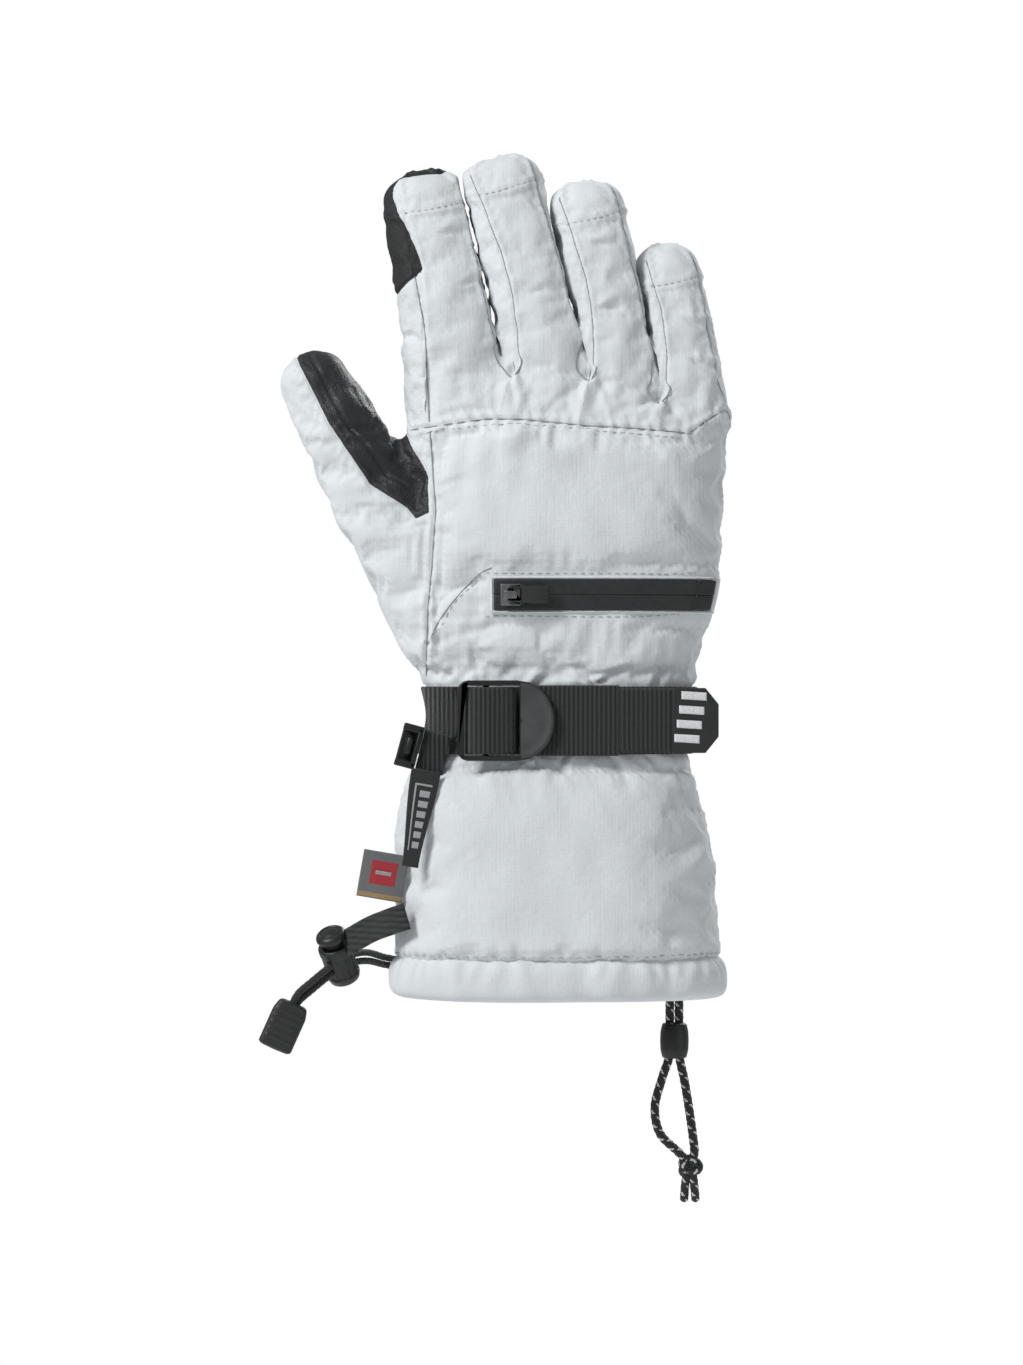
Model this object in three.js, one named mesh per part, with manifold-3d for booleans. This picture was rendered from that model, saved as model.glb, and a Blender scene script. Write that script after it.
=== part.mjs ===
// A right-hand ski glove, standing fingers up, worn or held on a hand that fills it from below.
// Millimetres. +Z runs from the hem to the fingertips, -Y faces the back of the hand, +X is the little-finger side.
// The origin is the centre of the hand opening, on the hem's lower edge.
import * as THREE from "three";
import { mergeVertices } from "three/addons/utils/BufferGeometryUtils.js";
import Module from "manifold-3d";

const wasm = await Module();
wasm.setup();

// ---- Driving dimensions ----
const WALL = 1.2; // shell fabric or leather
const GAP = 0.3; // between layers that touch
const LINER = 5; // membrane, insulation and fleece of the hand and gauntlet
const FINGER_LINER = 3;
const SIDES = 24; // round the hand and gauntlet
const FINGER_SIDES = 12;
const SQUARENESS = 2.7; // exponent of the flattened cross-sections
const FINGER_SQUARENESS = 2.3;
const FAR = 400; // longer than the glove, for cutting blocks

const HEM_TOP = 17.5;
const STRAP_Z = 103; // middle of the wrist strap
const WEBBING = 25;
const CUFF_TOP = 116.5;
const HAND_BOTTOM = 128.5;
const KNUCKLE_SEAM = 211;
const PALM_SPLIT_Y = 8; // the back fabric wraps round to here

// Sections of the gauntlet and of the hand: height, left, right, half depth.
const GAUNTLET = [
  [0, -61, 60, 31],
  [45, -60.5, 58, 30],
  [76, -59, 51.5, 27],
  [90, -52, 48, 23.5],
  [103, -47.5, 48, 22],
  [CUFF_TOP, -49.5, 49, 22],
];
const HAND = [
  [HAND_BOTTOM, -53, 52.5, 22.5],
  [150, -56, 58.5, 24],
  [182, -57, 61, 23.5],
  [212, -57, 61.5, 20],
  [222, -57, 59.5, 17.6],
  [232, -57, 37, 15],
];

// Each finger: centre of its root and of its tip (x, z), half widths at the root and near the tip, half depth,
// how far up the finger it bends, and how far its tip leans to the palm.
const FINGERS = {
  index: { base: [-38.6, 234], tip: [-51.5, 309.5], wide: [18.3, 15], deep: 15, hinge: 14, curl: 9 },
  middle: { base: [-3.4, 234], tip: [-21.6, 314.5], wide: [13.4, 13.7], deep: 15, hinge: 14, curl: 9 },
  ring: { base: [23.8, 229], tip: [7.8, 305.5], wide: [11.9, 12.2], deep: 14.5, hinge: 14, curl: 9 },
  little: { base: [48.9, 222], tip: [38.5, 282], wide: [11.6, 11.4], deep: 13.5, hinge: 14, curl: 9 },
};
const THUMB = { base: [-59, 166], tip: [-95, 240], wide: [20, 13.5], deep: 16, hinge: 30, curl: 6 };
const DIGITS = { ...FINGERS, thumb: THUMB };
const TIP_CAP = 27; // length of the touch cap on the index finger

// ---- Solids ----
const solid = (geometry) => {
  const g = geometry.clone();
  g.deleteAttribute("normal");
  g.deleteAttribute("uv");
  const m = mergeVertices(g, 1e-4);
  return new wasm.Manifold(
    new wasm.Mesh({
      numProp: 3,
      vertProperties: new Float32Array(m.attributes.position.array),
      triVerts: new Uint32Array(m.index.array),
    }),
  );
};

const geometryOf = (manifold) => {
  const m = manifold.getMesh();
  const g = new THREE.BufferGeometry();
  g.setAttribute("position", new THREE.BufferAttribute(m.vertProperties.slice(), 3));
  g.setIndex(new THREE.BufferAttribute(m.triVerts.slice(), 1));
  const flat = g.toNonIndexed();
  flat.computeVertexNormals();
  return flat;
};

// A solid through a stack of rings that have the same number of points, closed by a fan at each end.
const loft = (rings) => {
  const n = rings[0].length;
  const points = rings.flat();
  const mean = (ring) => ring.reduce((a, p) => a.add(p), new THREE.Vector3()).divideScalar(n);
  points.push(mean(rings[0]), mean(rings.at(-1)));
  const index = [];
  for (let r = 0; r + 1 < rings.length; r++)
    for (let i = 0; i < n; i++) {
      const a = r * n + i;
      const b = r * n + ((i + 1) % n);
      index.push(a, b, b + n, a, b + n, a + n);
    }
  const top = (rings.length - 1) * n;
  for (let i = 0; i < n; i++) {
    const j = (i + 1) % n;
    index.push(points.length - 2, j, i);
    index.push(points.length - 1, top + i, top + j);
  }
  const g = new THREE.BufferGeometry().setFromPoints(points);
  g.setIndex(index);
  return solid(g);
};

// A flattened ring about a centre, with its width along u and its depth along +Y.
const ring = (centre, u, halfWidth, halfDepth, sides, power) => {
  const v = new THREE.Vector3(0, 1, 0);
  return Array.from({ length: sides }, (_, i) => {
    const a = (2 * Math.PI * i) / sides;
    const [c, s] = [Math.cos(a), Math.sin(a)];
    const x = halfWidth * Math.sign(c) * Math.abs(c) ** (2 / power);
    const y = halfDepth * Math.sign(s) * Math.abs(s) ** (2 / power);
    return centre.clone().addScaledVector(u, x).addScaledVector(v, y);
  });
};

// The section a distance past the end of a stack, along the line of its last two.
const past = (end, before, distance) =>
  end.map((v, i) => v + ((v - before[i]) * distance) / Math.abs(end[0] - before[0]));

// A stack of flattened sections, drawn in by inset all round and lengthened at the bottom and the top.
const sleeve = (sections, inset, below = 0, above = 0) => {
  const stack = [...sections];
  stack[0] = past(sections[0], sections[1], below);
  stack[stack.length - 1] = past(sections.at(-1), sections.at(-2), above);
  const rings = stack.map(([z, left, right, half]) => {
    const centre = new THREE.Vector3((left + right) / 2, 0, z);
    const halfWidth = (right - left) / 2 - inset;
    return ring(centre, new THREE.Vector3(1, 0, 0), halfWidth, half - inset, SIDES, SQUARENESS);
  });
  return loft(rings);
};

// A finger's own frame: its length, its direction and the direction of its width.
const frameOf = ({ base, tip }) => {
  const along = new THREE.Vector3(tip[0] - base[0], 0, tip[1] - base[1]);
  const length = along.length();
  along.normalize();
  return { length, along, across: new THREE.Vector3(along.z, 0, -along.x) };
};

// A point on a finger's middle line, a distance up from its root.
const alongFinger = (f, s) => {
  const { length, along } = frameOf(f);
  const t = Math.min(Math.max(s / length, 0), 1);
  return new THREE.Vector3(f.base[0], f.curl * t * t, f.base[1]).addScaledVector(along, s);
};

// A finger between two distances from its root. With to left out it ends in its rounded tip.
const finger = (f, inset, from, to) => {
  const { length, across } = frameOf(f);
  const end = length - inset;
  const round = Math.min(f.wide[1], 13);
  const dome = [0, 0.62, 0.94].map((k) => [end - round + round * k, Math.sqrt(1 - k * k)]);
  const stations = to === undefined ? [[from, 1], [0.6 * length, 1], ...dome] : [[from, 1], [to, 1]];
  const rings = stations.map(([s, share]) => {
    const t = Math.min(Math.max(s / length, 0), 1);
    const half = THREE.MathUtils.lerp(f.wide[0], f.wide[1], t) - inset;
    const depth = (f.deep - inset) * (1 - 0.12 * t);
    return ring(alongFinger(f, s), across, half * share, depth * share, FINGER_SIDES, FINGER_SQUARENESS);
  });
  return loft(rings);
};

const move = (g, x, y, z) => g.translate(x, y, z);
const box = (low, high) => {
  const size = high.map((v, i) => v - low[i]);
  const g = new THREE.BoxGeometry(...size);
  return solid(move(g, ...low.map((v, i) => v + size[i] / 2)));
};

// A block that fills everything past a plane through a point, on the side that its normal points to.
const beyond = (point, normal) => {
  const g = new THREE.BoxGeometry(FAR, FAR, FAR);
  g.translate(0, 0, FAR / 2);
  const turn = new THREE.Quaternion().setFromUnitVectors(
    new THREE.Vector3(0, 0, 1),
    normal.clone().normalize(),
  );
  g.applyQuaternion(turn);
  return solid(g.translate(point.x, point.y, point.z));
};

const union = (list) => list.reduce((a, b) => a.add(b));

// A round-section tube along a list of points.
const tube = (points, radius, steps, sides = 8) => {
  const path = new THREE.CatmullRomCurve3(points.map((p) => new THREE.Vector3(...p)));
  const corner = (_, i) => {
    const a = (2 * Math.PI * i) / sides;
    return new THREE.Vector2(radius * Math.cos(a), radius * Math.sin(a));
  };
  const section = new THREE.Shape(Array.from({ length: sides }, corner));
  return new THREE.ExtrudeGeometry(section, { extrudePath: path, steps, bevelEnabled: false });
};

// A turned piece: [radius, height] pairs, turned to point along axis and put at a place.
const turned = (profile, axis, place, sides = 20) => {
  const g = new THREE.LatheGeometry(
    profile.map(([r, h]) => new THREE.Vector2(r, h)),
    sides,
  );
  const turn = new THREE.Quaternion().setFromUnitVectors(new THREE.Vector3(0, 1, 0), axis);
  return solid(g.applyQuaternion(turn).translate(place.x, place.y, place.z));
};

// ---- Materials ----
const cloth = (color, roughness = 0.85) =>
  new THREE.MeshStandardMaterial({ color, roughness, metalness: 0 });
const SHELL = cloth(0xced2d3);
const LEATHER = cloth(0x26282b, 0.55);
const CAP = cloth(0x1d1e20, 0.7);
const LINING = cloth(0x3a3c40, 0.95);
const WEB = cloth(0x17181a, 0.8);
const PLASTIC = cloth(0x1b1c1e, 0.4);
const CORD = cloth(0x141516, 0.75);
const RUBBER = cloth(0x1c1d1f, 0.6);
const LABEL_GREY = cloth(0x77797c, 0.8);
const STEEL = new THREE.MeshStandardMaterial({ color: 0x9da0a3, roughness: 0.35, metalness: 1 });

const glove = new THREE.Group();
const add = (name, material, shape) => {
  const geometry = shape.isBufferGeometry ? shape : geometryOf(shape);
  const mesh = new THREE.Mesh(geometry, material);
  mesh.name = name;
  glove.add(mesh);
};

// ---- Hand ----
const inner = WALL + GAP;
const palmSide = box([-FAR, PALM_SPLIT_Y + GAP, -FAR], [FAR, FAR, FAR]);
const backSide = box([-FAR, -FAR, -FAR], [FAR, PALM_SPLIT_Y, FAR]);
const belowHand = box([-FAR, -FAR, -FAR], [FAR, FAR, HAND_BOTTOM]);

// The heel of the thumb narrows into the wrist.
const heel = (inset) => {
  const place = new THREE.Vector3(-72 + inset, 0, 150);
  return beyond(place, new THREE.Vector3(-0.72, 0, -0.69));
};
// The hand with the roots of its fingers. The inside one is longer at the wrist and at each root, so it cuts them open.
const handSolid = (inset, more = 0) => {
  const top = HAND.slice(0, -1);
  top.push([HAND.at(-1)[0] - inset, ...HAND.at(-1).slice(1)]);
  const roots = Object.values(FINGERS).map((f) => finger(f, inset, -10, f.hinge - GAP + more));
  const thumb = finger(THUMB, inset, -40, THUMB.hinge - GAP + more).subtract(heel(inset));
  return union([sleeve(top, inset, more), ...roots, thumb]);
};
const handShell = handSolid(0).subtract(handSolid(WALL, 6)).subtract(belowHand);
const handBack = handShell.intersect(backSide);
const handPalm = handShell.intersect(palmSide);

// The knuckle seam falls a little to the little-finger side.
const seamNormal = new THREE.Vector3(0.093, 0, 0.996);
const seamPoint = new THREE.Vector3(0, 0, KNUCKLE_SEAM);
const underSeam = beyond(seamPoint.clone().setZ(KNUCKLE_SEAM - GAP), seamNormal.clone().negate());
add("knuckle_panel", SHELL, handBack.intersect(beyond(seamPoint, seamNormal)));
add("hand_back_panel", SHELL, handBack.intersect(underSeam));

// The pocket in the back of the hand, under its zip.
const ZIP = { left: -24.6, right: 55, low: 143.2, high: 155.2 };
const zipWindow = box([ZIP.left, -FAR, ZIP.low], [ZIP.right, 0, ZIP.high]);
const zipTape = sleeve(HAND, -1.4).subtract(sleeve(HAND, -GAP, 5, 5)).intersect(zipWindow);
add("zip_tape", RUBBER, zipTape);
const pocketWindow = box([-30, -FAR, 134], [46, 0, 180]);
const pocket = sleeve(HAND, inner).subtract(sleeve(HAND, inner + 1.2, 5, 5));
add("pocket_bag", LINING, pocket.intersect(pocketWindow));

// Palm: the grey heel of the thumb on the left, then three leather patches.
const heelPoint = new THREE.Vector3(-36.7, 0, 157.9);
const heelNormal = new THREE.Vector3(105, 0, 41).normalize();
const heelSide = beyond(heelPoint.clone().addScaledVector(heelNormal, -GAP), heelNormal.clone().negate());
add("thumb_heel_shell", SHELL, handPalm.intersect(heelSide));
const patches = handPalm.intersect(beyond(heelPoint, heelNormal));
const upperPoint = new THREE.Vector3(0, 0, 204);
const upperNormal = new THREE.Vector3(0.17, 0, 0.985);
const underUpper = beyond(upperPoint.clone().setZ(204 - GAP), upperNormal.clone().negate());
add("palm_patch_upper", LEATHER, patches.intersect(beyond(upperPoint, upperNormal)));
const LOWER_SEAM = 153;
const middleBlock = box([-FAR, -FAR, LOWER_SEAM], [FAR, FAR, FAR]);
add("palm_patch_middle", LEATHER, patches.intersect(underUpper).intersect(middleBlock));
const lowerBlock = box([-FAR, -FAR, -FAR], [FAR, FAR, LOWER_SEAM - GAP]);
add("palm_patch_lower", LEATHER, patches.intersect(lowerBlock));

// The liner lines the hand up to the finger roots, with a way through to the thumb.
const LINED = HAND.slice(0, 4);
const linerOuter = sleeve(LINED, inner + 1.2 + GAP).subtract(belowHand);
const thumbWay = finger(THUMB, inner + FINGER_LINER, -34, THUMB.hinge + 10);
add("hand_liner", LINING, linerOuter.subtract(sleeve(LINED, inner + 1.2 + LINER, 6, 6)).subtract(thumbWay));

// ---- Fingers ----
const handSide = sleeve(HAND, -GAP, 0, 0);
for (const [name, f] of Object.entries(DIGITS)) {
  const { length, along, across } = frameOf(f);
  const shell = finger(f, 0, f.hinge).subtract(finger(f, WALL, f.hinge - 4)).subtract(handSide);
  // Leather covers the palm side of a finger, and the inner side of the thumb.
  const palmward = new THREE.Vector3(0, 1, 0);
  const face = name === "thumb" ? across.clone().multiplyScalar(2).add(palmward).normalize() : palmward;
  const edge = new THREE.Vector3(f.base[0], 0, f.base[1]).addScaledVector(face, 4.5);
  const behindEdge = edge.clone().addScaledVector(face, -GAP);
  const front = beyond(edge, face);
  if (name === "index") {
    const seam = alongFinger(f, length - TIP_CAP).setY(0);
    const lower = beyond(seam.clone().addScaledVector(along, -GAP), along.clone().negate());
    add("index_tip_cap", CAP, shell.intersect(front).intersect(beyond(seam, along)));
    add("index_palm_leather", LEATHER, shell.intersect(front).intersect(lower));
    add("index_back_shell", SHELL, shell.intersect(beyond(behindEdge, face.clone().negate())));
  } else {
    const top = alongFinger(f, length - 8).setY(0);
    const underTop = beyond(top, along.clone().negate());
    const grown = beyond(behindEdge, face).intersect(
      beyond(top.clone().addScaledVector(along, GAP), along.clone().negate()),
    );
    add(name + "_palm_leather", LEATHER, shell.intersect(front).intersect(underTop));
    add(name + "_back_shell", SHELL, shell.subtract(grown));
  }
  const lining = finger(f, inner, f.hinge).subtract(finger(f, inner + FINGER_LINER, f.hinge - 4));
  add(name + "_liner", LINING, lining.subtract(handSide));
}

// ---- Gauntlet ----
const gauntlet = (inset, more = 0) => sleeve(GAUNTLET, inset, more, more);
const cuffShell = gauntlet(0).subtract(gauntlet(WALL, 4));
add("gauntlet_back_shell", SHELL, cuffShell.intersect(box([-FAR, -FAR, -1], [FAR, 0, FAR])));
add("gauntlet_palm_shell", SHELL, cuffShell.intersect(box([-FAR, GAP, -1], [FAR, FAR, FAR])));
add("gauntlet_liner", LINING, gauntlet(inner).subtract(gauntlet(inner + LINER, 4)));
const HEM = [GAUNTLET[0], past(GAUNTLET[0], GAUNTLET[1], -HEM_TOP)];
const hem = sleeve(HEM, -2).subtract(sleeve(HEM, -GAP, 4, 4));

// The steel eyelet in the hem, on the palm side of the thumb edge, where the drawcord leaves.
const EYELET = new THREE.Vector3(-55.5, 20.5, 10);
const eyeletOut = new THREE.Vector3(-0.62, 0.785, 0).normalize();
const eyeletSeat = turned([[0, -6], [3.2, -6], [3.2, 6], [0, 6]], eyeletOut, EYELET, 16);
add("hem_binding", SHELL, hem.subtract(eyeletSeat));
const eyeletPlace = EYELET.clone().addScaledVector(eyeletOut, 2.4);
const eyeletRim = [[3.1, 0], [4.8, 0], [5, 0.5], [4, 1.1], [3.1, 0.9], [3.1, 0]];
add("drawcord_eyelet", STEEL, turned(eyeletRim, eyeletOut, eyeletPlace, 16));

const WRIST = [GAUNTLET.at(-1), HAND[0]].map(([z, ...rest], i) => [i ? z - GAP : z + GAP, ...rest]);
add("wrist_elastic", SHELL, sleeve(WRIST, 0.4).subtract(sleeve(WRIST, 3.4, 3, 3)));

// ---- Wrist strap ----
const strapLow = STRAP_Z - WEBBING / 2;
const strapHigh = STRAP_Z + WEBBING / 2;
const strapLayer = gauntlet(-1.9).subtract(gauntlet(-GAP, 5));
const onStrap = (from, to, back) => box([from, -FAR, strapLow], [to, back, strapHigh]);
add("strap_anchor", WEB, strapLayer.intersect(onStrap(-FAR, -36, -6)));
add("strap_under_layer", WEB, strapLayer.intersect(onStrap(-13, FAR, 0)));

// A plate drawn in x and z, and thick towards -Y.
const plate = (outline, depth) => {
  const shape = new THREE.Shape(outline.map(([x, z]) => new THREE.Vector2(x, z)));
  const g = new THREE.ExtrudeGeometry(shape, { depth, bevelEnabled: false });
  return g.rotateX(Math.PI / 2);
};
const FRAME = { left: -38, right: -2, half: 14.8, back: -27.7, thick: 2.6 };
const arc = (cx, cz, r, from, to, steps) =>
  Array.from({ length: steps + 1 }, (_, i) => {
    const a = from + ((to - from) * i) / steps;
    return [cx + r * Math.cos(a), cz + r * Math.sin(a)];
  });
const quarter = Math.PI / 2;
// The lever end of the ladder lock is a half ellipse.
const lever = Array.from({ length: 11 }, (_, i) => {
  const a = -quarter + (2 * quarter * i) / 10;
  return [FRAME.right - 14 + 14 * Math.cos(a), STRAP_Z + FRAME.half * Math.sin(a)];
});
const frameOutline = [
  ...lever,
  ...arc(FRAME.left + 4, STRAP_Z + FRAME.half - 4, 4, quarter, 2 * quarter, 3),
  ...arc(FRAME.left + 4, STRAP_Z - FRAME.half + 4, 4, 2 * quarter, 3 * quarter, 3),
];
const rail = 2; // between a window and the frame's long edges
const windowOf = (from, to) => {
  const half = FRAME.half - rail;
  return box([from, -FAR, STRAP_Z - half], [to, 0, STRAP_Z + half]);
};
const MIDDLE_BAR = [-28.4, -26.4];
const framePlate = solid(move(plate(frameOutline, FRAME.thick), 0, FRAME.back, 0))
  .subtract(windowOf(FRAME.left + 2.4, MIDDLE_BAR[0]))
  .subtract(windowOf(MIDDLE_BAR[1], -15));
const lowBar = box(
  [MIDDLE_BAR[0] - 1, FRAME.back - FRAME.thick - 1, strapLow - 0.2],
  [MIDDLE_BAR[1] + 1, FRAME.back - 1.3, strapHigh + 0.2],
);
add("ladder_lock_frame", PLASTIC, framePlate.subtract(lowBar));

// The webbing that rides over the ladder lock's middle bar, as a ribbon of even thickness.
const ribbon = (line, thick, low, high) => {
  const path = line.map(([x, y]) => new THREE.Vector2(x, y));
  const side = (sign) =>
    path.map((p, i) => {
      const a = path[Math.max(i - 1, 0)];
      const b = path[Math.min(i + 1, path.length - 1)];
      const t = b.clone().sub(a).normalize();
      return new THREE.Vector2(p.x - sign * t.y * (thick / 2), p.y + sign * t.x * (thick / 2));
    });
  const shape = new THREE.Shape([...side(1), ...side(-1).reverse()]);
  const g = new THREE.ExtrudeGeometry(shape, { depth: high - low, bevelEnabled: false });
  return g.translate(0, 0, low);
};
const over = FRAME.back - 2.6;
const wrap = [
  [-34.4, FRAME.back + 0.6],
  [-33, FRAME.back - 1.2],
  [-31, over],
  [-27.4, over - 0.2],
  [-24, over],
  [-19.4, FRAME.back - 1.6],
  [-16.6, FRAME.back + 0.2],
];
add("strap_wrap", WEB, ribbon(wrap, 1.4, strapLow + 0.1, strapHigh - 0.1));

// The tail bends back round the wrist: webbing, then a narrower strip, then the moulded pull tab.
const tailLine = [[-13, -26.6], [2, -26.7], [14, -26.5], [21.5, -26]];
add("tail_webbing", WEB, ribbon(tailLine, 1.6, STRAP_Z - 13, STRAP_Z + 13));
const stripLine = [[21.8, -26], [31, -24.9], [40.4, -23.1]];
add("tail_strip", WEB, ribbon(stripLine, 1.6, STRAP_Z - 11.8, STRAP_Z + 11.8));
const TAB = { length: 17.6, half: 12, thick: 2.4 };
const tabOutline = [
  [0, -TAB.half],
  [TAB.length - 5, -TAB.half],
  [TAB.length, -TAB.half / 2],
  [TAB.length, TAB.half / 2],
  [TAB.length - 5, TAB.half],
  [0, TAB.half],
];
const tabPlate = plate(tabOutline, TAB.thick).rotateZ(0.22);
add("pull_tab", RUBBER, move(tabPlate, 40.8, -22, STRAP_Z));

// ---- Zip slider and puller ----
const zipFront = -(HAND[1][3] + 1.4 + 0.5);
const zipMiddle = (ZIP.low + ZIP.high) / 2;
const SLIDER = [-22, -14.6];
const slider = box([SLIDER[0], zipFront - 2.6, zipMiddle - 4], [SLIDER[1], zipFront, zipMiddle + 4]);
const bridge = box([SLIDER[0] + 1.6, zipFront - 4.8, zipMiddle - 1.4], [SLIDER[1] - 1.4, zipFront - 2.6, zipMiddle + 1.4]);
const bridgeHole = box([SLIDER[0] + 3, zipFront - 3.7, zipMiddle - 2], [SLIDER[1] - 2.6, zipFront - 2.55, zipMiddle + 2]);
add("zip_slider", STEEL, slider.add(bridge).subtract(bridgeHole));
const pullerBack = zipFront - 2.9;
const PULLER = { eye: SLIDER[1] + 0.2, end: -4.4, half: 3.2, thick: 1.6 };
const eyeBar = box([SLIDER[0] + 3.4, pullerBack - 0.7, zipMiddle - 3.4], [SLIDER[0] + 4.1, pullerBack, zipMiddle + 3.4]);
const arm = (sign) =>
  box(
    [SLIDER[0] + 3.4, pullerBack - 1.2, zipMiddle + (sign > 0 ? 2.2 : -3.4)],
    [PULLER.eye + 1, pullerBack, zipMiddle + (sign > 0 ? 3.4 : -2.2)],
  );
const grip = box([PULLER.eye, pullerBack - PULLER.thick, zipMiddle - PULLER.half], [PULLER.end, pullerBack, zipMiddle + PULLER.half]);
add("zip_puller", RUBBER, union([eyeBar, arm(1), arm(-1), grip]));
const stopAt = (from, to) =>
  sleeve(HAND, -2.6).subtract(sleeve(HAND, -1.7, 5)).intersect(box([from, -FAR, ZIP.low + 2], [to, 0, ZIP.high - 2]));
add("zip_end_stop", RUBBER, stopAt(47, 49.5));

// ---- Quick clip on the thumb side ----
const CLIP = new THREE.Vector3(-55.3, -20.5, 93.5);
const LEAN = THREE.MathUtils.degToRad(15);
const leaned = (shape) => {
  const g = geometryOf(shape);
  g.rotateY(LEAN);
  return solid(move(g, CLIP.x, CLIP.y, CLIP.z));
};
const clipBody = box([-4.2, -3.7, -8], [3.4, 3.7, 8])
  .subtract(box([-4.6, -2.3, -5.8], [1.4, 2.3, 5.8]))
  .subtract(box([-2.6, -4, -3.6], [0.6, 0, 3.6]));
add("clip_socket", PLASTIC, leaned(clipBody));
add("clip_bar", PLASTIC, leaned(box([3.8, -0.8, -7.4], [5.3, 0.8, 7.4])));
const clipLoop = box([5.8, -1.6, -7.6], [13.5, 1.6, 7.6]);
add("clip_webbing", WEB, leaned(clipLoop).subtract(gauntlet(-2.2, 5)));

// ---- Labels in the front seam of the gauntlet ----
const flag = (width, height, place, turnZ, turnY) => {
  const g = new THREE.BoxGeometry(width, 0.9, height);
  g.rotateY(turnY).rotateZ(turnZ);
  return solid(move(g, ...place)).subtract(gauntlet(-GAP, 5));
};
add("care_label", WEB, flag(11, 36, [-53.5, -25.6, 67], 0.25, 0.2));
add("size_label", LABEL_GREY, flag(17, 17.5, [-66.5, -16.5, 45], 0.1, 0.2));

// ---- Drawcord, its lock, its tether and its end tab ----
const CORD_R = 1.25;
const lockPlace = new THREE.Vector3(-82, 2, 12);
const lockAxis = new THREE.Vector3(-0.25, -0.5, 0.83).normalize();
const cordSide = new THREE.Vector3(0, -0.34, 0.94).multiplyScalar(1.7);
const drawcordRoute = (side) => {
  const middle = [
    [-60, 26.5, 10],
    [-66.5, 25.5, 11.5],
    [-72, 17, 13.5],
    [-77, 9.5, 13.5],
    [-82, 2, 12],
    [-87, -4.5, 8.5],
    [-92, -8.5, 4.5],
    [-97, -10.5, 0.5],
  ];
  return middle.map(([x, y, z], i) => {
    const k = side * Math.min(1, 0.86 + 0.1 * i);
    return [x + k * cordSide.x, y + k * cordSide.y, z + k * cordSide.z];
  });
};
add("drawcord_front", CORD, tube(drawcordRoute(1), CORD_R, 10));
add("drawcord_rear", CORD, tube(drawcordRoute(-1), CORD_R, 10));

const cordRun = new THREE.Vector3(-10, -14, -5).normalize();
// A rectangular passage through the lock, along the cords and wide enough for both.
const passage = (() => {
  const u = cordSide.clone().normalize();
  const w = new THREE.Vector3().crossVectors(cordRun, u).normalize();
  const v = new THREE.Vector3().crossVectors(cordRun, w).normalize();
  const g = new THREE.BoxGeometry(4.6, 8.2, 30);
  const m = new THREE.Matrix4().makeBasis(w, v, cordRun).setPosition(lockPlace);
  return solid(g.applyMatrix4(m));
})();
const lockBase = lockPlace.clone().addScaledVector(lockAxis, -8);
const barrel = [[0, 0], [3.6, 0], [5.6, 1.2], [6.3, 3.4], [6.3, 17], [4.5, 17], [4.5, 12.6], [0, 12.6]];
add("cord_lock_barrel", PLASTIC, turned(barrel, lockAxis, lockBase, 14).subtract(passage));
const button = [[0, 15.4], [4.1, 15.4], [4.1, 19.4], [5.7, 19.4], [5.9, 20.6], [4.6, 22.4], [2.2, 23.1], [0, 23.2]];
add("cord_lock_button", PLASTIC, turned(button, lockAxis, lockBase, 14));
const spring = [[2.6, 12.9], [3.7, 12.9], [3.7, 15.1], [2.6, 15.1], [2.6, 12.9]];
add("cord_lock_spring", STEEL, turned(spring, lockAxis, lockBase, 12));

const tetherLow = new THREE.Vector3(-76.6, -6.5, 21.5);
const tetherHigh = new THREE.Vector3(-57.5, -21, 30.5);
const tether = (() => {
  const run = tetherHigh.clone().sub(tetherLow);
  const length = run.length();
  run.normalize();
  const up = new THREE.Vector3(0, 0, 1).addScaledVector(run, -run.z).normalize();
  const out = new THREE.Vector3().crossVectors(run, up);
  const g = new THREE.BoxGeometry(length, 10, 2.2);
  const m = new THREE.Matrix4().makeBasis(run, up, out);
  m.setPosition(tetherLow.clone().addScaledVector(run, length / 2));
  return solid(g.applyMatrix4(m)).subtract(gauntlet(-GAP, 5));
})();
add("cord_tether", WEB, tether);

const tabGeometry = new THREE.BoxGeometry(13, 6.5, 19);
tabGeometry.translate(0, 0, -9.5).rotateY(0.42).translate(-98.5, -11.4, -1.6);
add("cord_end_tab", RUBBER, solid(tabGeometry));

// ---- Wrist leash, hanging from the hem on the little-finger side ----
const LEASH = { x: 43.8, y: 25.6, top: -1.8, r: 1.6 };
const BEAD = { low: -25.4, high: -12.2, r: 5.4 };
const KNOT = new THREE.Vector3(49.6, LEASH.y, -66.6);
const leashRoute = (side) =>
  side < 0
    ? [[-1.75, 0], [-1.75, -13], [-1.8, -24], [-4.6, -33], [-7.4, -44], [-5.5, -54], [2.6, -62]]
    : [[1.75, 0], [1.75, -13], [1.8, -24], [3.8, -34], [5.6, -45], [7, -55], [7.4, -61.6]];
const leashCord = (side, radius = LEASH.r) => {
  const points = leashRoute(side).map(([x, z], i) => [LEASH.x + x, LEASH.y, i ? z : LEASH.top]);
  return tube(points, radius, 10);
};
add("leash_cord_left", CORD, leashCord(-1));
add("leash_cord_right", CORD, leashCord(1));
const beadHalf = (BEAD.high - BEAD.low) / 2;
const beadProfile = [[0, -beadHalf], [4.4, -beadHalf], [BEAD.r, -2.5], [BEAD.r, 2.5], [4.4, beadHalf], [0, beadHalf]];
const up = new THREE.Vector3(0, 1, 0);
const beadPlace = new THREE.Vector3(LEASH.x, LEASH.y, (BEAD.high + BEAD.low) / 2);
const bead = turned(beadProfile, new THREE.Vector3(0, 0, 1), beadPlace, 16);
const slot = box([LEASH.x - 3.9, LEASH.y - 1.95, -40], [LEASH.x + 3.9, LEASH.y + 1.95, 0]);
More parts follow.
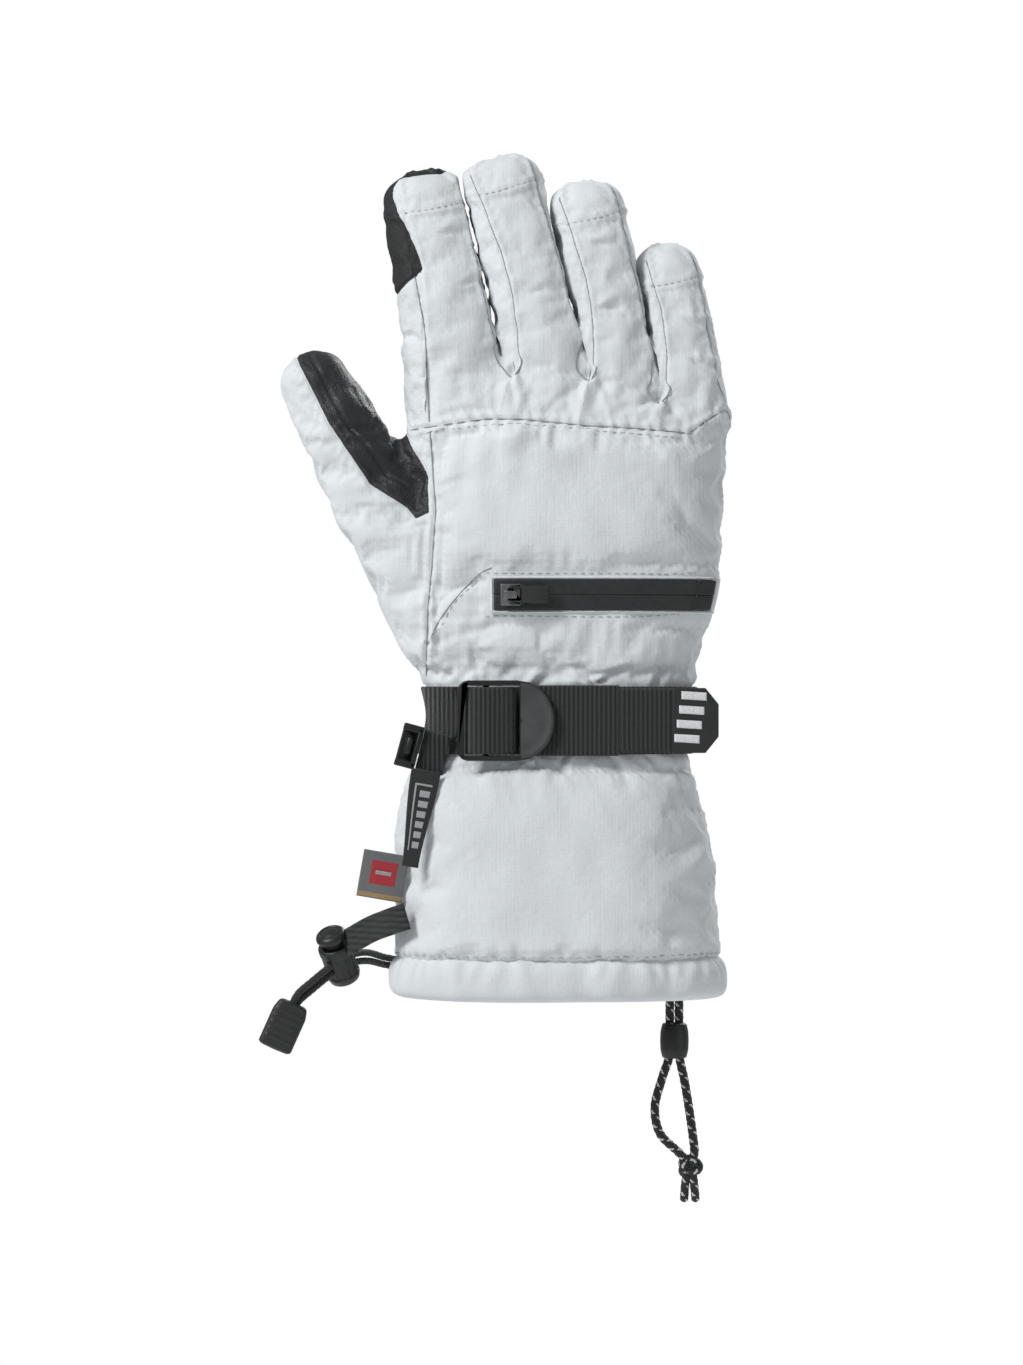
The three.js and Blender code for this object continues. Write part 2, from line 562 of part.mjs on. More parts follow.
add("leash_bead", PLASTIC, bead.subtract(slot));
const knotBall = new THREE.SphereGeometry(4.3, 12, 8).scale(1.2, 0.95, 1);
const tail = (dx) => {
  const g = new THREE.CylinderGeometry(LEASH.r, LEASH.r, 14, 8);
  return solid(move(g.rotateX(quarter), KNOT.x + dx, KNOT.y, KNOT.z - 7));
};
const knot = union([solid(move(knotBall, KNOT.x, KNOT.y, KNOT.z)), tail(-1.7), tail(1.7)]);
add("leash_knot", CORD, knot.subtract(solid(leashCord(-1, LEASH.r + GAP))).subtract(solid(leashCord(1, LEASH.r + GAP))));

export default glove;
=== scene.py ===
"""A right-hand ski glove on the shared frame: soft skin, leather, straps, zip, cords and lights."""

import math

import bmesh
import bpy
import numpy as np
from mathutils import Matrix, Vector
from mathutils.bvhtree import BVHTree
from mathutils.kdtree import KDTree


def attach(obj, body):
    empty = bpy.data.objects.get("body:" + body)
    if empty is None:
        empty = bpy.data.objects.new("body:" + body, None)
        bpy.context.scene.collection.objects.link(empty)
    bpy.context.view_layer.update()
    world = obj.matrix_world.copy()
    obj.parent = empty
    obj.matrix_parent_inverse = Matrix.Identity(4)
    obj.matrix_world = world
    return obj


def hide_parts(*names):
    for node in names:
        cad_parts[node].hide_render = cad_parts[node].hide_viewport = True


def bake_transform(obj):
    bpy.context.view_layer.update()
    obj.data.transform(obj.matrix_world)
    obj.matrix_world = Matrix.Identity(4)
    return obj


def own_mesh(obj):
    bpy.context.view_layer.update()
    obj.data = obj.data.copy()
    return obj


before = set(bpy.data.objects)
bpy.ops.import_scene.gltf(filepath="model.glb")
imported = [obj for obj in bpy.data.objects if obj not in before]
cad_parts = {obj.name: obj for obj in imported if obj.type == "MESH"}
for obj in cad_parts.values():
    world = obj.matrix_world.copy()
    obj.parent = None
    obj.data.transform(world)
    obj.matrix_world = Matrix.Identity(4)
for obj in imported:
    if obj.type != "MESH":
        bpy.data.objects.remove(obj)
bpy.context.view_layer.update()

MM = 0.001

# ---------------------------------------------------------------- camera
CAMERA_AIM = Vector((-0.018, 0.0, 0.117))
CAMERA_DISTANCE = 1.6
CAMERA_LENS = 113
camera_data = bpy.data.cameras.new("camera")
camera_data.lens = CAMERA_LENS
camera = bpy.data.objects.new("camera", camera_data)
camera.location = CAMERA_AIM + Vector((0, -CAMERA_DISTANCE, 0))
camera.rotation_euler = (math.radians(90), 0, 0)
bpy.context.scene.collection.objects.link(camera)
bpy.context.scene.camera = camera


# ---------------------------------------------------------------- material building
class Nodes:
    """A material and short calls for its nodes."""

    def __init__(self, name):
        self.material = bpy.data.materials.new(name)
        self.material.use_nodes = True
        self.tree = self.material.node_tree
        self.shader = self.tree.nodes["Principled BSDF"]

    def add(self, kind, **values):
        node = self.tree.nodes.new(kind)
        for key, value in values.items():
            if hasattr(node, key):
                setattr(node, key, value)
            else:
                node.inputs[key.replace("_", " ")].default_value = value
        return node

    def link(self, source, target):
        self.tree.links.new(source, target)

    def coordinates(self, kind="Object", scale=(1, 1, 1)):
        source = self.add("ShaderNodeTexCoord")
        mapping = self.add("ShaderNodeMapping")
        mapping.inputs["Scale"].default_value = scale
        self.link(source.outputs[kind], mapping.inputs["Vector"])
        return mapping.outputs["Vector"]

    def noise(self, vector, scale, detail=3.0, roughness=0.5):
        node = self.add("ShaderNodeTexNoise")
        node.inputs["Scale"].default_value = scale
        node.inputs["Detail"].default_value = detail
        node.inputs["Roughness"].default_value = roughness
        self.link(vector, node.inputs["Vector"])
        return node.outputs["Fac"]

    def wave(self, vector, scale, direction="X", distortion=0.0):
        node = self.add("ShaderNodeTexWave", bands_direction=direction)
        node.inputs["Scale"].default_value = scale
        node.inputs["Distortion"].default_value = distortion
        self.link(vector, node.inputs["Vector"])
        return node.outputs["Fac"]

    def math(self, operation, a, b=None):
        node = self.add("ShaderNodeMath", operation=operation)
        for socket, value in zip(node.inputs, (a, b)):
            if value is None:
                continue
            if isinstance(value, (int, float)):
                socket.default_value = value
            else:
                self.link(value, socket)
        return node.outputs[0]

    def ramp(self, factor, stops):
        node = self.add("ShaderNodeValToRGB")
        elements = node.color_ramp.elements
        while len(elements) < len(stops):
            elements.new(0.5)
        for element, (place, value) in zip(elements, stops):
            element.position = place
            element.color = (*value, 1) if hasattr(value, "__len__") else (value, value, value, 1)
        self.link(factor, node.inputs["Fac"])
        return node.outputs["Color"]

    def bump(self, height, distance, strength=1.0, below=None):
        node = self.add("ShaderNodeBump")
        node.inputs["Strength"].default_value = strength
        node.inputs["Distance"].default_value = distance
        self.link(height, node.inputs["Height"])
        if below is not None:
            self.link(below, node.inputs["Normal"])
        return node.outputs["Normal"]

    def finish(self, color=None, roughness=None, normal=None, **shader):
        for name, value in (("Base Color", color), ("Roughness", roughness), ("Normal", normal)):
            if value is None:
                continue
            if hasattr(value, "node"):
                self.link(value, self.shader.inputs[name])
            else:
                self.shader.inputs[name].default_value = value
        for name, value in shader.items():
            self.shader.inputs[name.replace("_", " ")].default_value = value
        return self.material


def tint(color, factor):
    """A colour made lighter or darker."""
    return tuple(min(1, channel * factor) for channel in color)


def woven_nylon():
    """Matt plain-weave nylon with faint slubs and soft colour drift."""
    n = Nodes("woven_nylon")
    at = n.coordinates()
    color = (0.665, 0.695, 0.715)
    drift = n.noise(at, 28, 3)
    shade = n.ramp(drift, [(0.3, tint(color, 0.955)), (0.7, tint(color, 1.02))])
    warp = n.wave(at, 620, "X", 0.4)
    weft = n.wave(at, 620, "Z", 0.4)
    weave = n.math("MULTIPLY", warp, weft)
    slub = n.noise(n.coordinates(scale=(1, 1, 0.12)), 900, 2)
    fine = n.bump(weave, 0.00012, 0.5)
    coarse = n.bump(slub, 0.00018, 0.5, fine)
    soft = n.bump(n.noise(at, 95, 4, 0.6), 0.0011, 0.55, coarse)
    rough = n.ramp(n.noise(at, 300, 2), [(0.3, 0.72), (0.7, 0.86)])
    return n.finish(shade, rough, soft, Sheen_Weight=0.12, Sheen_Roughness=0.5)


def leather(name, color, grain, shine):
    """Fine-grained synthetic leather, with creased cells and a slight gloss on the grain."""
    n = Nodes(name)
    at = n.coordinates()
    cells = n.add("ShaderNodeTexVoronoi", feature="DISTANCE_TO_EDGE")
    cells.inputs["Scale"].default_value = grain
    warped = n.add("ShaderNodeVectorMath", operation="ADD")
    wobble = n.add("ShaderNodeTexNoise")
    wobble.inputs["Scale"].default_value = grain * 0.6
    n.link(at, wobble.inputs["Vector"])
    small = n.add("ShaderNodeVectorMath", operation="SCALE")
    small.inputs["Scale"].default_value = 0.0012
    n.link(wobble.outputs["Color"], small.inputs[0])
    n.link(at, warped.inputs[0])
    n.link(small.outputs[0], warped.inputs[1])
    n.link(warped.outputs[0], cells.inputs["Vector"])
    crease = n.ramp(cells.outputs["Distance"], [(0.0, 0.0), (0.25, 1.0)])
    fine = n.bump(crease, 0.00016, 0.6)
    soft = n.bump(n.noise(at, 120, 5, 0.65), 0.0009, 0.6, fine)
    drift = n.noise(at, 45, 4)
    shade = n.ramp(drift, [(0.3, tint(color, 0.82)), (0.72, tint(color, 1.25))])
    rough = n.ramp(n.noise(at, 240, 3), [(0.3, shine - 0.06), (0.7, shine + 0.1)])
    return n.finish(shade, rough, soft, Specular_IOR_Level=0.4)


def webbing(name, axis, pitch, color=(0.012, 0.013, 0.0135)):
    """Ribbed polyester webbing. Ribs cross the given object axis at the given pitch."""
    n = Nodes(name)
    at = n.coordinates()
    per_metre = 1 / pitch
    ribs = n.wave(at, per_metre * 0.314, axis, 0.3)
    across = n.wave(at, per_metre * 0.9, "Z" if axis != "Z" else "X", 0.6)
    threads = n.noise(at, 1500, 2)
    fine = n.bump(n.math("MULTIPLY", across, threads), 0.0002, 0.7)
    coarse = n.bump(ribs, 0.0006, 0.9, fine)
    # Colour follows the ribs: painted shade between them and a painted highlight on their tops, mixed with a
    # random thread tone of the webbing itself.
    mixed = n.math("ADD", n.math("MULTIPLY", ribs, 0.7), n.math("MULTIPLY", threads, 0.5))
    shade = n.ramp(mixed, [(0.2, tint(color, 0.5)), (0.9, tint(color, 2.1))])
    return n.finish(shade, 0.82, coarse, Sheen_Weight=0.2)


def moulded(name, color, gloss, texture=0.0001):
    """Moulded plastic or rubber: fine spark-eroded texture and faint handling marks."""
    n = Nodes(name)
    at = n.coordinates()
    fine = n.bump(n.noise(at, 2600, 2), texture, 0.4)
    soft = n.bump(n.noise(at, 240, 3), 0.0002, 0.35, fine)
    marks = n.noise(n.coordinates(scale=(1, 1, 3)), 420, 5, 0.7)
    rough = n.ramp(marks, [(0.35, gloss - 0.07), (0.75, gloss + 0.12)])
    shade = n.ramp(n.noise(at, 90, 3), [(0.3, tint(color, 0.8)), (0.7, tint(color, 1.25))])
    return n.finish(shade, rough, soft, Specular_IOR_Level=0.45)


def plated_steel():
    n = Nodes("plated_steel")
    at = n.coordinates()
    scratch = n.noise(n.coordinates(scale=(1, 1, 12)), 900, 4, 0.7)
    rough = n.ramp(scratch, [(0.3, 0.28), (0.8, 0.5)])
    shade = n.ramp(n.noise(at, 300, 3), [(0.3, (0.16, 0.16, 0.165)), (0.7, (0.26, 0.26, 0.265))])
    return n.finish(shade, rough, n.bump(scratch, 0.00004, 0.4), Metallic=0.9)


def braided(name, flecks):
    """Braided cord: crossing strands on the tube's own length and girth, with reflective flecks if asked."""
    n = Nodes(name)
    uv = n.coordinates("UV")
    split = n.add("ShaderNodeSeparateXYZ")
    n.link(uv, split.inputs[0])
    girth, length = split.outputs["X"], split.outputs["Y"]
    turn = n.math("MULTIPLY", girth, 8 * 2 * math.pi)
    run = n.math("MULTIPLY", length, 2 * math.pi / 0.0016)
    left = n.math("SINE", n.math("ADD", turn, run))
    right = n.math("SINE", n.math("SUBTRACT", turn, run))
    strands = n.math("MAXIMUM", left, right)
    # Strand tops lighter and the hollows between strands darker: painted shade on the black braid.
    black = n.ramp(strands, [(0.0, (0.006, 0.006, 0.007)), (1.0, (0.028, 0.029, 0.031))])
    normal = n.bump(strands, 0.00025, 0.8)
    if not flecks:
        return n.finish(black, 0.8, normal, Sheen_Weight=0.2)
    twice_round = n.math("MULTIPLY", girth, 2 * 2 * math.pi)
    along = n.math("MULTIPLY", length, 2 * math.pi / 0.0052)
    tracer = n.math("SINE", n.math("ADD", twice_round, along))
    beat = n.math("SINE", n.math("MULTIPLY", length, 2 * math.pi / 0.0026))
    fleck = n.math("MULTIPLY", n.math("GREATER_THAN", tracer, 0.74), n.math("GREATER_THAN", beat, -0.15))
    mix = n.add("ShaderNodeMix", data_type="RGBA")
    n.link(fleck, mix.inputs["Factor"])
    n.link(black, mix.inputs["A"])
    mix.inputs["B"].default_value = (0.72, 0.73, 0.73, 1)
    return n.finish(mix.outputs["Result"], 0.6, normal, Sheen_Weight=0.1)


def thread(name, color):
    n = Nodes(name)
    at = n.coordinates()
    twist = n.wave(at, 900, "DIAGONAL", 1.0)
    shade = n.ramp(twist, [(0.0, tint(color, 0.72)), (1.0, color)])
    return n.finish(shade, 0.6, n.bump(twist, 0.00008, 0.6), Sheen_Weight=0.3)


def coated_zip():
    """Matt polyurethane-coated zip tape, smooth with a faint film texture."""
    n = Nodes("coated_zip")
    at = n.coordinates()
    film = n.noise(at, 500, 4, 0.6)
    shade = n.ramp(film, [(0.3, (0.0125, 0.0135, 0.014)), (0.7, (0.02, 0.0212, 0.022))])
    rough = n.ramp(n.noise(at, 160, 3), [(0.3, 0.42), (0.7, 0.58)])
    return n.finish(shade, rough, n.bump(film, 0.0001, 0.5))


def fleece():
    n = Nodes("fleece")
    at = n.coordinates()
    pile = n.noise(at, 1100, 4, 0.7)
    shade = n.ramp(pile, [(0.25, (0.02, 0.021, 0.023)), (0.8, (0.075, 0.078, 0.082))])
    return n.finish(shade, 0.95, n.bump(pile, 0.0008, 0.9), Sheen_Weight=0.6)


def reflective():
    """White reflective print with its fine honeycomb."""
    n = Nodes("reflective_print")
    at = n.coordinates()
    cells = n.add("ShaderNodeTexVoronoi", feature="DISTANCE_TO_EDGE")
    cells.inputs["Scale"].default_value = 1400
    n.link(at, cells.inputs["Vector"])
    shade = n.ramp(cells.outputs["Distance"], [(0.0, (0.62, 0.64, 0.65)), (0.2, (0.8, 0.81, 0.82))])
    return n.finish(shade, 0.4, n.bump(cells.outputs["Distance"], 0.00005, 0.5))


def label_weave(name, color):
    n = Nodes(name)
    at = n.coordinates()
    warp = n.wave(at, 900, "X", 0.3)
    weft = n.wave(at, 1300, "Z", 0.3)
    weave = n.math("MULTIPLY", warp, weft)
    shade = n.ramp(weave, [(0.0, tint(color, 0.75)), (1.0, tint(color, 1.12))])
    return n.finish(shade, 0.7, n.bump(weave, 0.0001, 0.6), Sheen_Weight=0.2)


SHELL = woven_nylon()
PALM = leather("palm_leather", (0.0175, 0.0195, 0.022), 900, 0.48)
TOUCH = leather("touch_leather", (0.0155, 0.016, 0.0168), 1500, 0.56)
STRAP = webbing("strap_webbing", "X", 0.0017)
TETHER = webbing("tether_webbing", "Z", 0.0022)
PLASTIC = moulded("black_acetal", (0.0135, 0.014, 0.0145), 0.36)
# Painted highlight: the lever pad's lighter grey stands in for the light that the angled lever end catches;
# the plastic itself is black.
LEVER_HIGHLIGHT = moulded("lever_painted_highlight", (0.05, 0.052, 0.053), 0.62, 0.0002)
RUBBER = moulded("soft_rubber", (0.019, 0.0195, 0.02), 0.5, 0.00015)
STEEL = plated_steel()
CORD = braided("plain_cord", False)
LEASH = braided("leash_cord", True)
GREY_THREAD = thread("grey_thread", (0.52, 0.545, 0.56))
WHITE_THREAD = thread("white_thread", (0.72, 0.73, 0.72))
DARK_THREAD = thread("dark_thread", (0.075, 0.08, 0.085))
ZIP = coated_zip()
FLEECE = fleece()
PRINT = reflective()
LABEL_BLACK = label_weave("label_black", (0.014, 0.0145, 0.015))
LABEL_GREY = label_weave("label_grey", (0.15, 0.155, 0.16))
LABEL_RED = label_weave("label_red", (0.42, 0.02, 0.03))
LABEL_TAN = label_weave("label_tan", (0.36, 0.24, 0.1))
LABEL_LINE = label_weave("label_line", (0.42, 0.43, 0.44))

# ---------------------------------------------------------------- glove form, in millimetres
# Height, left, right, half depth.
SLEEVE = np.array(
    [
        (-6, -61.2, 60.2, 31.2),
        (0, -61, 60, 31),
        (22, -61.5, 59.5, 31),
        (45, -61.4, 58.6, 29.8),
        (64, -61, 56.3, 28.2),
        (80, -58.6, 51.2, 25.8),
        (92, -51.5, 47.8, 23.2),
        (103, -48, 48, 22),
        (116, -50, 49.5, 22.2),
        (130, -53.5, 53, 23),
        (150, -56, 58.5, 24),
        (182, -57, 61, 23.5),
        (212, -57, 61.5, 20),
        (222, -57, 59.5, 17.6),
        (232, -56.5, 41, 15),
        (245, -56, 30, 11),
    ],
    float,
)
# How high the hand reaches at each x: it falls towards the little finger.
SLEEVE_TOP = ((-60, 226), (-17, 227), (11, 225), (37, 216), (60, 209))
# How square the sections of the hand and of the digits are, and how a digit's ends round over.
POWER = 2.6
FINGER_POWER = 2.25
END_POWER = 2.2
# Above this height the sleeve's section stays as it is here.
SLEEVE_LIMIT = 236
# How much a digit's depth is drawn in at its tip, as a share.
TIP_DRAW = 0.12
# Turns an angle round the hand or the cuff into millimetres.
MEAN_RADIUS = 42

# Each digit's root and tip in X and Z, its half widths at both and its half depth. Then the distance up it
# where it bends, how far its tip curls to the palm, the length of its rounded top or root, and its side bow.
BENDS = dict(hinge=14, curl=9)
DIGITS = {
    "index": dict(base=(-38.6, 234), tip=(-52.0, 309.5), wide=(19.4, 16.8), deep=15.2, crown=11, **BENDS),
    "middle": dict(base=(-3.4, 234), tip=(-25.8, 314.6), wide=(17.6, 16.8), deep=15.2, crown=11.5, **BENDS),
    "ring": dict(base=(23.8, 229), tip=(6.6, 305.5), wide=(16.2, 15.4), deep=14.6, crown=12, **BENDS),
    "little": dict(base=(48.6, 222), tip=(37.8, 282), wide=(14.4, 13.6), deep=13.6, root=6, **BENDS),
    "thumb": dict(base=(-59, 166), tip=(-94.4, 241.8), wide=(20, 12.4), deep=16, hinge=30, curl=6, sway=2.8),
}
FINGERS = ("index", "middle", "ring", "little")


def polyline(points):
    """A function that interpolates one coordinate of a seam from the other."""
    a = np.array(sorted(points), float)
    return lambda at: np.interp(at, a[:, 0], a[:, 1])


def smooth_step(t):
    """An even rise from 0 to 1 that starts and ends level."""
    t = np.clip(t, 0, 1)
    return t * t * (3 - 2 * t)


def smooth_table(table, at):
    """Columns of a table read at heights, through a smooth cubic."""
    z = table[:, 0]
    i = np.clip(np.searchsorted(z, at) - 1, 0, len(z) - 2)
    h = z[i + 1] - z[i]
    t = np.clip((at - z[i]) / h, 0, 1)
    out = []
    for column in table[:, 1:].T:
        slope = np.gradient(column, z)
        a, b, ma, mb = column[i], column[i + 1], slope[i] * h, slope[i + 1] * h
        t2, t3 = t * t, t * t * t
        out.append(
            (2 * t3 - 3 * t2 + 1) * a + (t3 - 2 * t2 + t) * ma + (3 * t2 - 2 * t3) * b + (t3 - t2) * mb
        )
    return out


def sleeve_rho(x, y, z):
    """Below 1 inside the hand and gauntlet, above 1 outside."""
    left, right, half = smooth_table(SLEEVE, np.minimum(z, SLEEVE_LIMIT))
    centre, width = (left + right) / 2, (right - left) / 2
    flat = (np.abs((x - centre) / width) ** POWER + np.abs(y / half) ** POWER) ** (1 / POWER)
    top = np.interp(x, *zip(*SLEEVE_TOP))
    above = np.maximum(z - top, 0) / 9
    return np.sqrt(flat**2 + above**2)


def digit_frame(d):
    """A digit's root, the directions along it and across it, and its length."""
    base, tip = np.array(d["base"], float), np.array(d["tip"], float)
    run = tip - base
    length = np.hypot(*run)
    along = run / length
    return base, along, np.array((along[1], -along[0])), length


def digit_coordinates(d, x, y, z):
    """Distance up the finger, across it and out of its palm side."""
    base, along, across, length = digit_frame(d)
    s = (x - base[0]) * along[0] + (z - base[1]) * along[1]
    u = (x - base[0]) * across[0] + (z - base[1]) * across[1]
    t = np.clip(s / length, 0, 1)
    return s, u + d.get("sway", 0) * t, y - d["curl"] * t * t, t


def digit_girth(d, t):
    """Half width and half depth of a digit at a share of its length."""
    at_root, at_tip = d["wide"]
    return at_root + (at_tip - at_root) * t, d["deep"] * (1 - TIP_DRAW * t)


def digit_rho(d, x, y, z, top=None):
    """Below 1 inside a digit, above 1 outside. A digit can be cut short at a distance up it."""
    length = top or digit_frame(d)[3]
    s, u, v, t = digit_coordinates(d, x, y, z)
    half, depth = digit_girth(d, t)
    flat = (np.abs(u / half) ** FINGER_POWER + np.abs(v / depth) ** FINGER_POWER) ** (1 / FINGER_POWER)
    crown = min(d["wide"][1], d.get("crown", 14.0))
    past = np.maximum(s - (length - crown), 0) / crown
    before = np.maximum(-d.get("root", 34) - s, 0) / 10
    return (flat**END_POWER + past**END_POWER + before**END_POWER) ** (1 / END_POWER)


VOXEL = 0.85


class Grid:
    """Evenly spaced places in a box."""

    def __init__(self, low, high, step=VOXEL):
        self.low = np.array(low, float)
        self.step = step
        counts = np.ceil((np.array(high) - self.low) / step).astype(int) + 1
        axes = [(self.low[k] + step * np.arange(counts[k])).astype(np.float32) for k in range(3)]
        self.x, self.y, self.z = np.meshgrid(*axes, indexing="ij")

    def distance(self, rho):
        """A radius-like field turned into a distance in millimetres near its surface."""
        gx, gy, gz = np.gradient(rho.astype(np.float32), self.step)
        return np.clip((rho - 1) / np.sqrt(gx**2 + gy**2 + gz**2 + 1e-6), -30, 30)


def soft_union(a, b, k):
    """Two distances joined with a fillet of about k millimetres."""
    h = np.clip(0.5 + 0.5 * (b - a) / k, 0, 1)
    return b * (1 - h) + a * h - k * h * (1 - h)


CELL_CORNERS = [(i, j, k) for i in (0, 1) for j in (0, 1) for k in (0, 1)]


def at_corner(values, corner):
    """Grid values at one corner of every cell."""
    return values[tuple(slice(c, n - 1 + c) for c, n in zip(corner, values.shape))]


def surface_points(field, g):
    """One point in each cell that the zero surface crosses, and each cell's number in their list."""
    inside = field < 0
    shape = tuple(n - 1 for n in field.shape)
    count = np.zeros(shape, np.int8)
    total = np.zeros(shape + (3,), np.float32)
    crossings = np.zeros(shape, np.float32)
    for start in CELL_CORNERS:
        count += at_corner(inside, start)
    mixed = (count > 0) & (count < 8)
    for start in CELL_CORNERS:
        for axis in range(3):
            if start[axis]:
                continue
            end = list(start)
            end[axis] = 1
            near, far = at_corner(field, start), at_corner(field, end)
            cross = (at_corner(inside, start) != at_corner(inside, end)) & mixed
            t = np.where(cross, near / np.where(cross, near - far, 1), 0)
            for k in range(3):
                total[..., k] += np.where(cross, start[k] + (t if k == axis else 0), 0)
            crossings += cross
    number = -np.ones(shape, np.int64)
    number[mixed] = np.arange(mixed.sum())
    cells = np.argwhere(mixed)
    return g.low + g.step * (cells + total[mixed] / crossings[mixed][:, None]), number


def surface_quads(inside, number):
    """Quads round every grid edge that the surface crosses, facing outwards."""
    quads = []
    for axis in range(3):
        b, c = (axis + 1) % 3, (axis + 2) % 3
        here = [slice(0, n - 1) for n in inside.shape]
        here[b] = slice(1, inside.shape[b] - 1)
        here[c] = slice(1, inside.shape[c] - 1)
        there = list(here)
        there[axis] = slice(1, inside.shape[axis])
        a_in, b_in = inside[tuple(here)], inside[tuple(there)]
        for flip, change in ((False, a_in & ~b_in), (True, ~a_in & b_in)):
            at = np.argwhere(change)
            at[:, b] += 1
            at[:, c] += 1
            ring = []
            for db, dc in ((1, 1), (0, 1), (0, 0), (1, 0)):
                cell = at.copy()
                cell[:, b] -= db
                cell[:, c] -= dc
                ring.append(number[cell[:, 0], cell[:, 1], cell[:, 2]])
            ring = np.stack(ring, 1)
            quads.append(ring[:, ::-1] if flip else ring)
    quads = np.concatenate(quads)
    return quads[(quads >= 0).all(1)]


def surface_nets(field, g):
    """Vertices and quads of a field's zero surface."""
    points, number = surface_points(field, g)
    return points, surface_quads(field < 0, number)


def sample(field, g, points):
    """A field read between its grid points."""
    at = (points - g.low) / g.step
    i = np.clip(np.floor(at).astype(int), 0, np.array(field.shape) - 2)
    f = np.clip(at - i, 0, 1)
    out = 0
    for o in ((a, b, c) for a in (0, 1) for b in (0, 1) for c in (0, 1)):
        w = np.prod([f[:, k] if o[k] else 1 - f[:, k] for k in range(3)], axis=0)
        out = out + w * field[i[:, 0] + o[0], i[:, 1] + o[1], i[:, 2] + o[2]]
    return out


def edges_of(triangles):
    """Each edge of a mesh once, as two point numbers."""
    e = np.concatenate([triangles[:, (0, 1)], triangles[:, (1, 2)], triangles[:, (2, 0)]])
    return np.unique(np.sort(e, 1), axis=0)


def relax(points, edges, rounds, share=0.5):
    """Points moved part of the way to the mean of their neighbours."""
    degree = np.bincount(edges.ravel(), minlength=len(points))[:, None]
    for _ in range(rounds):
        total = np.zeros_like(points)
        np.add.at(total, edges[:, 0], points[edges[:, 1]])
        np.add.at(total, edges[:, 1], points[edges[:, 0]])
        points = points + share * (total / np.maximum(degree, 1) - points)
    return points


def normals_of(points, triangles):
    """Directions square to a mesh at its points."""
    a, b, c = (points[triangles[:, k]] for k in range(3))
    face = np.cross(b - a, c - a)
    total = np.zeros_like(points)
    for k in range(3):
        np.add.at(total, triangles[:, k], face)
    return total / np.maximum(np.linalg.norm(total, axis=1), 1e-9)[:, None]


def skin_of(field, g):
    """A smooth triangle skin on a field's zero surface, facing outwards."""
    points, quads = surface_nets(field, g)
    triangles = np.concatenate([quads[:, (0, 1, 2)], quads[:, (0, 2, 3)]])
    edges = edges_of(triangles)
    slopes = np.gradient(field, g.step)
    for _ in range(3):
        points = relax(points, edges, 2)
        value = sample(field, g, points)
        slope = np.stack([sample(part, g, points) for part in slopes], 1)
        points = points - slope * (value / np.maximum((slope**2).sum(1), 1e-3))[:, None]
    outward = np.stack([sample(part, g, points) for part in slopes], 1)
    if (normals_of(points, triangles) * outward).sum() < 0:
        triangles = triangles[:, ::-1]
    return points, triangles


def keep_where(mesh, value):
    """The part of a mesh where a value at its vertices is positive, cut exactly along the zero line."""
    points, triangles, extra = mesh
    value = np.where(np.abs(value) < 0.04, 0.0, value)
    sign = np.sign(value).astype(int)
    corner = sign[triangles]
    whole = triangles[(corner >= 0).all(1) & (corner > 0).any(1)]
    cut = triangles[(corner > 0).any(1) & (corner < 0).any(1)]
    sides = np.concatenate([cut[:, (0, 1)], cut[:, (1, 2)], cut[:, (2, 0)]])
    sides = np.sort(sides[sign[sides[:, 0]] * sign[sides[:, 1]] < 0], 1)
    sides = np.unique(sides, axis=0)
    t = value[sides[:, 0]] / (value[sides[:, 0]] - value[sides[:, 1]])

    def between(a):
        share = t.reshape((-1,) + (1,) * (a.ndim - 1))
        return a[sides[:, 0]] + share * (a[sides[:, 1]] - a[sides[:, 0]])

    made = {tuple(s): len(points) + k for k, s in enumerate(sides.tolist())}
    new = []
    for tri in cut.tolist():
        loop = []
        for k in range(3):
            a, b = tri[k], tri[(k + 1) % 3]
            if sign[a] >= 0:
                loop.append(a)
            if sign[a] * sign[b] < 0:
                loop.append(made[(min(a, b), max(a, b))])
        for k in range(1, len(loop) - 1):
            new.append((loop[0], loop[k], loop[k + 1]))
    points = np.concatenate([points, between(points)])
    extra = {k: np.concatenate([a, between(a)]) for k, a in extra.items()}
    triangles = np.concatenate([whole, np.array(new, int).reshape(-1, 3)])
    used, triangles = np.unique(triangles, return_inverse=True)
    triangles = triangles.reshape(-1, 3)
    return points[used], triangles, {k: a[used] for k, a in extra.items()}


def ripple(points, wavelength, seed, waves=7):
    """Smooth pseudo-random height with the given wavelength, from -1 to 1 or so."""
    random = np.random.default_rng(seed)
    out = 0
    for _ in range(waves):
        direction = random.normal(size=3)
        direction /= np.linalg.norm(direction)
        stretch = random.uniform(0.75, 1.4)
        out = out + np.sin(points @ direction * (2 * math.pi / wavelength) * stretch + random.uniform(0, 6.3))
    return out / math.sqrt(waves)


# Seams: the knuckle seam on the back and the upper stitched seam on the palm, as heights across x.
BACK_KNUCKLE = polyline([
    (-70, 209), (-47.8, 211.6), (-27, 214.3), (-14, 214), (10, 211.6),
    (34, 210.3), (47.4, 209), (60.5, 218), (70, 222),
])
PALM_UPPER = polyline([
    (-70, 231), (-54.5, 227), (-42.6, 219.5), (-30.8, 214), (-15.2, 208.3),
    (2.9, 204.2), (17.6, 201), (39, 198.4), (70, 195),
])
# The long seam from the side of the index finger down to the wrist: x at each height.
LONG_SEAM = polyline([
    (100, -50.5), (123, -49.6), (143.5, -49), (160, -47.4), (180, -46),
    (216, -48.6), (247, -50), (272, -54.6), (291.5, -58.4),
])
# Leather at the heel of the thumb, on the palm: outer and inner edge.
HEEL_OUTER = polyline([
    (100, -17), (118, -16.6), (134.5, -20.5), (159, -32.8), (188, -43), (212, -55), (240, -70),
])
HEEL_INNER = polyline([
    (100, -13), (122, -13.5), (131, -11), (138.6, -9.3), (146, -8.6), (151, -11),
    (163, -28.7), (178, -39), (192, -47.5), (205, -52), (240, -56),
])
